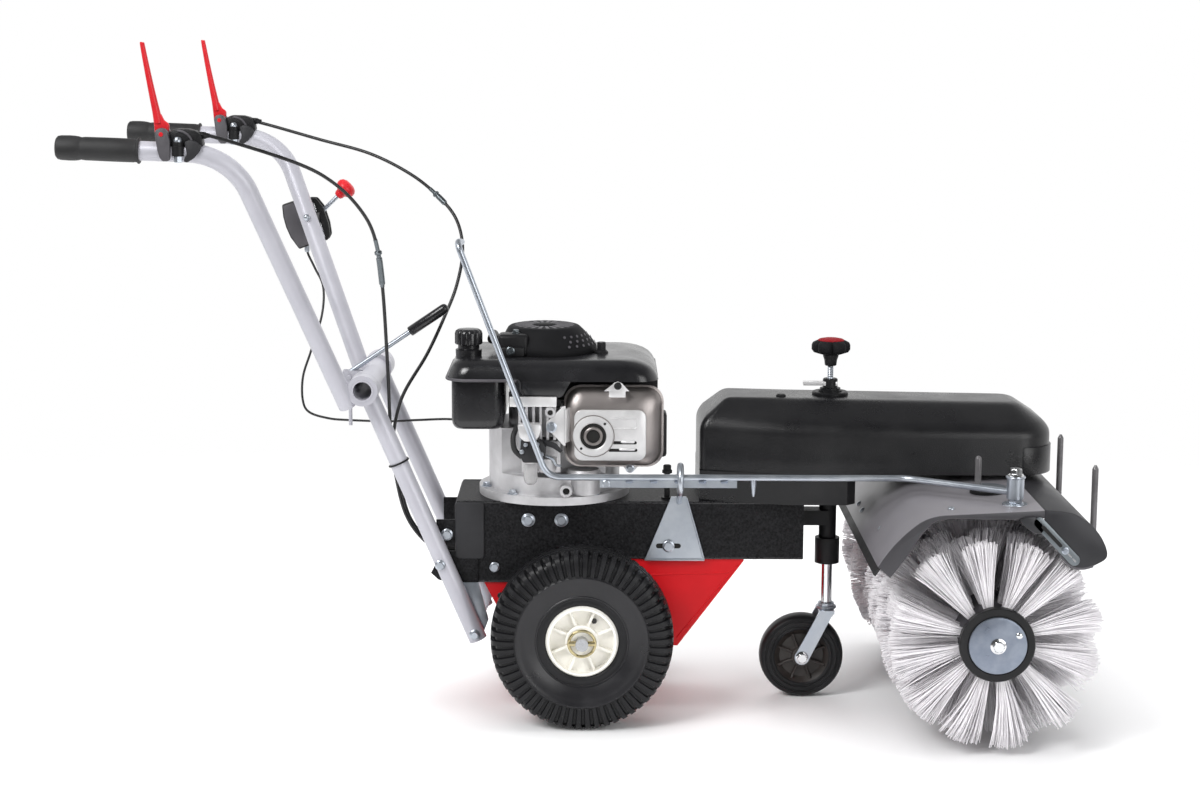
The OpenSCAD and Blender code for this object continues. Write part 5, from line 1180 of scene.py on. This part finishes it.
def hood_outline(rear, front, rear_half, half, nose, corner, grow=0.0):
    """Plan of the hood with the same count of points at every level."""
    pts = []
    for k in range(8, -1, -1):
        a = math.radians(90 + 90 * k / 8)
        x, y = rear + corner + corner * math.cos(a), -rear_half + corner - corner * math.sin(a)
        pts.append((x - grow, y - grow))
    pts.append((HOOD_TAPER, -half - grow))
    for k in range(13):
        a = math.radians(-90 + 90 * k / 12)
        pts.append((front - nose + (nose + grow) * math.cos(a), -half + nose + (nose + grow) * math.sin(a)))
    return pts + [(x, -y) for x, y in reversed(pts)]


def hood_shell():
    low, high = hood_outline(*HOOD_PLAN), hood_outline(*HOOD_TOP_PLAN)
    rings = []
    for z, s in HOOD_BAND:
        ring = []
        for (x0, y0), (x1, y1) in zip(low, high):
            x, y = x0 + (x1 - x0) * s, y0 + (y1 - y0) * s
            rise = max(0, (z - FALL_FROM) / (HOOD_TOP - FALL_FROM))
            ring.append((x, y, z - HOOD_FALL * (x - HOOD_REAR) / (HOOD_FRONT - HOOD_REAR) * rise))
        rings.append(ring)
    turns = [math.atan2(y, x - STEM.x) for x, y, _ in rings[-1]]
    r = HOOD_HOLE_R
    rings.append([(STEM.x + r * math.cos(a), r * math.sin(a), HOOD_HOLE_Z) for a in turns])
    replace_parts(loft("hood_shell", rings, "hood", 50, caps=False), "hood")


def hood():
    side = [(HOOD_REAR, HOOD_REAR_HALF), (HOOD_TAPER, HOOD_HALF), (404, HOOD_HALF), (418, 96)]
    skirt = [(x, -y) for x, y in side] + side[::-1]
    rings = [at_z(skirt, z) for z in (343, 345, 392.5)]
    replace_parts(loft("hood_skirt", rings, "hood", caps=False), "hood")
    inner = [p for p in hood_outline(*HOOD_PLAN, -1) if p[0] > NOSE_X]
    nose = []
    for x, y in inner:
        out = Vector((x - NOSE_MID, y * 0.9)).normalized() * (1 + NOSE_OUT * min(1, (x - NOSE_X) / 40))
        nose.append((x + out.x, y + out.y))
    prism("hood_lip", nose + inner[::-1], 392, 436, "hood", "xy")
    flange = [(10.6, 499), (27, 499), (29, 504), (29, 507.4), (27.4, 509), (10.6, 509)]
    revolve("hood_flange", flange, STEM, UP, "plastic", 56, closed=True)
    collar = [(8, 508), (19, 508), (19, 511), (16.6, 512), (16.6, 514.6), (8, 514.6)]
    revolve("hood_collar", collar, STEM, UP, "plastic", 48, closed=True)
    screw = [(0, 0), (8, 0), (8, 2.6), (6, 4.6), (0, 5)]
    revolve("hood_screw", screw, (303, -30, 504.2), UP, "plastic", 28, 40)


hood_shell()
hood()

# Shroud over the engine: height, and how far the sides, back and front draw in
SHROUD = [
    (542, 0, 0, 0), (549, 1, 1.4, 2.6), (556, 2.6, 3.4, 6.6), (562, 5.4, 6.4, 12), (567, 9, 10, 20),
    (570.6, 13.6, 14.4, 29), (573, 19, 19.6, 39), (574, 26, 26, 50)]
SHROUD_BACK, SHROUD_FRONT, SHROUD_HALF, SHROUD_HOLE_R = -229, 104, 125, 62


def shroud():
    rings = []
    for z, side, back, front in SHROUD:
        x0, x1 = SHROUD_BACK + back, SHROUD_FRONT - front
        plan = rounded_rect((x0 + x1) / 2, 0, (x1 - x0) / 2, SHROUD_HALF - side, 34 - side * 0.5, 8)
        rings.append(at_z(plan, z))
    turns = [math.atan2(y, x - CRANK_X) for x, y, _ in rings[-1]]
    rings.append([(CRANK_X + SHROUD_HOLE_R * math.cos(a), SHROUD_HOLE_R * math.sin(a), 574.4) for a in turns])
    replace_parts(loft("shroud_dome", rings, "satin", 50, caps=False), "engine_shroud")
    skirt = [(-130, -125), (-55, -125), (-55, -56), (104, -56), (104, 125), (-130, 125)]
    rings = [at_z(skirt, z) for z in (505, 506, 543)]
    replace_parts(loft("shroud_skirt", rings, "satin", caps=False), "engine_shroud")
    panel = [(-112, 543), (-112, 528), (-106, 521), (-52, 517), (-46, 520), (-34, 543)]
    prism("shroud_panel", panel, -127.5, -120, "satin", bevel=1.6)
    edge = [(-131, -126.4, 546), (-118, -126.6, 545), (-113.5, -127.2, 540), (-112.5, -127.8, 530),
            (-108, -127.8, 522)]
    tube("shroud_edge", smooth_path(edge, 4), 1.5, "dark chassis black_plastic", 8)


shroud()

# Starter cover: height, radius along and across, middle; and its rows of holes
STARTER = [
    (574, 77, 81, -71), (576, 78, 82, -71), (584, 77.4, 81.4, -71.5), (592, 73, 77, -73),
    (600, 68, 72, -75), (608, 62.4, 66.4, -77), (612.6, 58.6, 62.6, -78), (615, 55.4, 59.4, -78),
    (616, 51, 55, -78), (616, 14, 14, -78)]
STARTER_X, STARTER_SEG, STARTER_SLOTS, SLOT_HALF = -78, 72, 22, 1.9
STARTER_HOLES = [(603, -75.8, 66, 70), (596, -74, 71, 75), (589, -72.5, 75.4, 79.4)]


def starter_cover():
    turns = [TURN * k / STARTER_SEG for k in range(STARTER_SEG)]
    rings = [[(cx + rx * math.cos(a), ry * math.sin(a), z) for a in turns] for z, rx, ry, cx in STARTER]
    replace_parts(loft("starter_shell", rings, "matte", 40, caps=False), "recoil_cover")
    hub = [(17, 613), (17, 616.6), (15, 617.6), (0, 617.6)]
    revolve("starter_hub", hub, (STARTER_X, 0, 0), UP, "matte", 40)
    w = SLOT_HALF
    for k in range(STARTER_SLOTS):
        a = TURN * k / STARTER_SLOTS
        c, s = math.cos(a), math.sin(a)
        slot = [(STARTER_X + r * c - t * s, (r * s + t * c) * 1.05)
                for r, t in ((20, -w), (48, -w * 1.5), (48, w * 1.5), (20, w))]
        prism("starter_slot_%d" % k, slot, 615.6, 616.25, "grey", "xy", 0)
    hole = [(0, 0), (2.3, 0), (2.3, 0.7), (0, 0.7)]
    for row, (z, cx, rx, ry) in enumerate(STARTER_HOLES):
        for k in range(7):
            a = math.radians(-62 + 11 * k + 5 * (row % 2))
            at = (cx + rx * math.cos(a), ry * math.sin(a), z)
            out = (math.cos(a), math.sin(a), 0.55)
            revolve("starter_hole_%d_%d" % (row, k), hole, at, out, "grey", 12)
    block("starter_nose", (-150, -74, 574), (-102, -34, 609), "plastic", 6, 3)
    block("starter_step", (-146, -80, 574), (-108, -70, 590), "plastic", 3)
    hex_head("starter_nose_bolt", (-130, -80, 584), TO_RIGHT, "dull_zinc", 7, 5.4, 6)
    hex_head("starter_top_bolt", (-122, -54, 609), UP, "dull_zinc", 7, 5.4, 6)


starter_cover()


# Carburettor: pale casting, dark body with screws, clear filter bowl, link rods
def carburettor():
    casting = [(-117, 478), (-80, 478), (-79, 470), (-84, 456), (-90, 450), (-106, 450), (-114, 457)]
    intake = prism("intake_casting", casting, -147, -122, "pad chassis cast_aluminium", bevel=3.5)
    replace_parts(intake, "carburettor")
    body = [(-112, 452), (-80, 452), (-72, 441), (-74, 424), (-84, 416), (-108, 416), (-113, 426)]
    prism("carburettor_body", body, -143, -66, "dark", bevel=2)
    block("carburettor_back", (-112, -100, 392), (-50, -60, 444), "cast", 2)
    ring = [(0, 414), (12.6, 414), (13, 416), (13, 421), (12, 423), (0, 423)]
    clear = [(0, 378), (6, 378.6), (9.6, 382), (10.8, 388), (11.4, 414), (0, 414)]
    float_bowl = [(0, 396), (10, 396.6), (15, 400), (16, 405), (16, 420), (0, 420)]
    boss = [(0, 357), (27, 357), (27, 392), (24.5, 396), (0, 396)]
    for name, prof, x, y, look, seg in (
            ("bowl_ring", ring, -97, -125, "pad chassis cast_aluminium", 36),
            ("filter_bowl", clear, -97, -125, "glass", 36), ("float_bowl", float_bowl, -72, -118, "cast", 36),
            ("governor_boss", boss, -14, -84, "cast", 48)):
        revolve(name, prof, (x, y, 0), UP, look, seg)
    for i, (x, z, r) in enumerate(((-104, 445, 3.4), (-86, 446, 3.4), (-80, 430, 4.2), (-110, 434, 3.6))):
        screw = [(0, 0), (r, 0), (r, 2), (r * 0.7, 3), (0, 3.2)]
        revolve("carburettor_screw_%d" % i, screw, (x, -143, z), TO_RIGHT, "zinc", 20)
    choke = [(-76, 452), (-58, 446), (-46, 434), (-50, 430), (-62, 438), (-78, 444)]
    prism("choke_plate", choke, -133, -129.5, "dark chassis black_plastic", bevel=0.6)
    link = at_y([(-74, 426), (-62, 421), (-57, 412), (-49, 410)], -134)
    tube("choke_link", smooth_path(link, 5), 2.0, "zinc", 10)
    tube("governor_link", at_y([(-112, 462), (-112, 440), (-108, 426)], -137), 1.6, "zinc", 10)
    hose = [(-118, -118, 470), (-124, -130, 456), (-122, -134, 436), (-110, -136, 424)]
    tube("fuel_hose", smooth_path(hose, 6), 4.2, "rubber")
    keeper = [
        (0, 0), (9, 0), (9, 3), (4.5, 3), (4.5, 42), (8, 42), (8, 47), (6.4, 47.6), (6.4, 54), (5, 55.4),
        (0, 55.4)]
    revolve("rod_keeper", keeper, (120, -62, 343), UP, "plastic", 8)


carburettor()

# Bolts on the frame, the handle tubes and the rod guide: place, washer and hexagon radius
FRAME_HALF, TUBE_SIDE, GUIDE_T, WASHER_T = 88, 120, 4, 2.2
GUIDE_Y = -FRAME_HALF - GUIDE_T
SIDE_BOLTS = [
    (-102, FRAME_HALF, 313, 11, 7.6), (-49, FRAME_HALF, 313, 11, 7.6), (-156, FRAME_HALF, 236, 7.6, 6.6),
    (-232, FRAME_HALF, 289, 9.6, 7.8), (-241, TUBE_SIDE - 1, 246, 8.5, 6.2),
    (-187, TUBE_SIDE - 1, 132, 8.5, 6.2)]


def bolt(name, at, axis, washer, hexr, body="chassis", finish="zinc"):
    """Washer with a flanged hexagon head on it."""
    prof = [(0, 0), (washer, 0), (washer, 1.6), (washer - 0.8, WASHER_T), (0, WASHER_T)]
    revolve(name + "_washer", prof, at, axis, finish + " " + body, 40)
    seat = Vector(at) + Vector(axis).normalized() * WASHER_T
    return hex_head(name, seat, axis, "zinc " + body, hexr * 1.22, hexr, hexr * 0.85)


def frame_bolts():
    for s, word in SIDES:
        for i, (x, y, z, washer, hexr) in enumerate(SIDE_BOLTS):
            head = bolt("side_bolt_%s_%d" % (word, i), (x, s * y, z), (0, s, 0), washer, hexr)
            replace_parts(head, "fasteners")
    head = bolt("guide_bolt", (122, GUIDE_Y, 272), TO_RIGHT, 9.5, 8, finish="dull_zinc")
    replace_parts(head, "fasteners")
    # Dark patch for the guide's slot: painted shade in the opening
    slot = capsule(122, 272, 40, 8)
    prism("guide_slot", slot, GUIDE_Y - 0.3, GUIDE_Y + 1, "dark_hole chassis black_paint", bevel=0)


frame_bolts()

# Rounded edges of the frame's sheet, in a lighter black as painted highlight, and folded edges of the rod
# guide
FRAME_EDGES = {
    "top": [(-214, 341.4), (60, 341.4), (336, 341.4)], "rear": [(-214.4, 341), (-214.4, 280), (-214.4, 214)],
    "low": [(-214, 212.6), (-160, 212.6), (-101, 212.6)], "front": [(-60, 251.6), (120, 251.6), (336, 251.6)]}


def sheet_edges():
    for s, word in SIDES:
        for tag, run in FRAME_EDGES.items():
            tube("frame_edge_%s_%s" % (tag, word), at_y(run, s * (FRAME_HALF - 1.6)), 2.4, "edge")
    tube("guide_fold_low", at_y([(84.5, 249.5), (130, 249.5), (179.5, 249.5)], GUIDE_Y), 2.0, "zinc", 10)
    tube("guide_fold_side", at_y([(179, 250), (165, 300), (150.5, 350)], GUIDE_Y), 1.6, "zinc", 10)


sheet_edges()

# Moulded cover round the rear end of the frame: half widths and how far the edge draws in
REAR_COVER = [(91.6, 2.4), (91.3, 1.2), (90.2, 0.3), (88.8, 0)]


def rear_cover():
    levels = [(-y, inset) for y, inset in REAR_COVER] + REAR_COVER[::-1]
    rings = [at_y(rounded_rect(-195.5, 295.5, 23.5 - i, 46.5 - i, 6), y) for y, i in levels]
    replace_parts(loft("rear_cover_skin", rings, "dark", 40), "rear_cover")


rear_cover()


# Brackets between the handle tubes and the frame: black plates on the frame, zinc feet below it
def tube_brackets():
    plate = [(-258, 226), (-240, 262), (-182, 262), (-182, 211), (-232, 211), (-246, 215)]
    foot = [(-226, 211), (-182, 211), (-166, 150), (-178, 118), (-200, 118)]
    for s, word in SIDES:
        levels = between(s, FRAME_HALF, FRAME_HALF + 3)
        for tag, outline, finish in (("plate", plate, "frame"), ("foot", foot, "zinc")):
            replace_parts(prism("handle_%s_%s" % (tag, word), outline, *levels, finish), "handle_brackets")


tube_brackets()

# Steering rod fittings: notches and end bolt of the bar, stop pin, and the pin with its boss on the cover
POST, BOSS = Vector((637, -286, 0)), Vector((612.6, -190, 0))
BAR_Y, NOTCHES = -160, (58, 96, 134, 172, 206)


def rod_fittings():
    bolt("bar_bolt", (22, BAR_Y - 2, 387.5), TO_RIGHT, 6.5, 5, "steering")
    for i, x in enumerate(NOTCHES):
        levels = BAR_Y - 5.2, BAR_Y + 5.2
        prism("bar_notch_%d" % i, capsule(x, 391, 12, 5), *levels, "blue_zinc steering", bevel=0.4)
    stop = [(252, BAR_Y, z) for z in (395, 388, 372, 367)]
    tube("rod_stop", stop, [4.6, 4.6, 3.0, 1.6], "zinc steering", 14)
    washer = [(0, 381), (19, 381), (19.6, 382), (19, 384.4), (0, 384.4)]
    shank = [(0, 384), (7, 384), (7, 425), (0, 425)]
    top = [(0, 423.4), (14.4, 423.4), (15, 424.4), (14.4, 426), (0, 426)]
    for ob in (revolve("steering_washer", washer, POST, UP, "zinc head", 40),
               revolve("steering_shank", shank, POST, UP, "chrome head", 40),
               revolve("steering_top", top, POST, UP, "zinc head", 40),
               hex_head("steering_nut", POST + Vector((0, 0, 384.4)), UP, "zinc head", 13, 11, 7),
               hex_head("steering_head", POST + Vector((0, 0, 426)), UP, "chrome head", 12, 10, 12)):
        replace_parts(ob, "steering_pivot")
    boss = [(28, 374), (28, 386), (26.4, 388.4), (0, 388.4)]
    revolve("cover_boss", boss, BOSS, UP, "plastic head black_paint", 56)
    disc = [(10, 388.4), (28.6, 388.4), (29.4, 389.2), (28.6, 390.6), (10, 390.6)]
    revolve("boss_disc", disc, BOSS, UP, "zinc head", 56)
    pin = [(5, 386), (5, 433), (4.4, 436), (2.6, 438.2), (0, 439)]
    revolve("boss_pin", pin, BOSS + Vector((-16, 0, 0)), UP, "pin head", 24, 40)


rod_fittings()


# Axle carrier: small screws at the rear and the bent edge under the frame
def carrier_fittings():
    screw = [(0, 0), (5, 0), (5, 1.6), (3.6, 2.6), (0, 2.8)]
    edge = [(233, 240), (180, 173), (137, 119)]
    fold = [(74, 212), (96, 223), (212, 226), (228, 232)]
    for s, word in SIDES:
        revolve("carrier_screw_" + word, screw, (-147, s * 85, 188), (0, s, 0), "plastic", 20)
        tube("carrier_edge_" + word, at_y(edge, s * 84.6), 1.5, "carrier", 8)
        tube("carrier_fold_" + word, at_y(fold, s * 84.4), 1.6, "carrier", 8)


carrier_fittings()
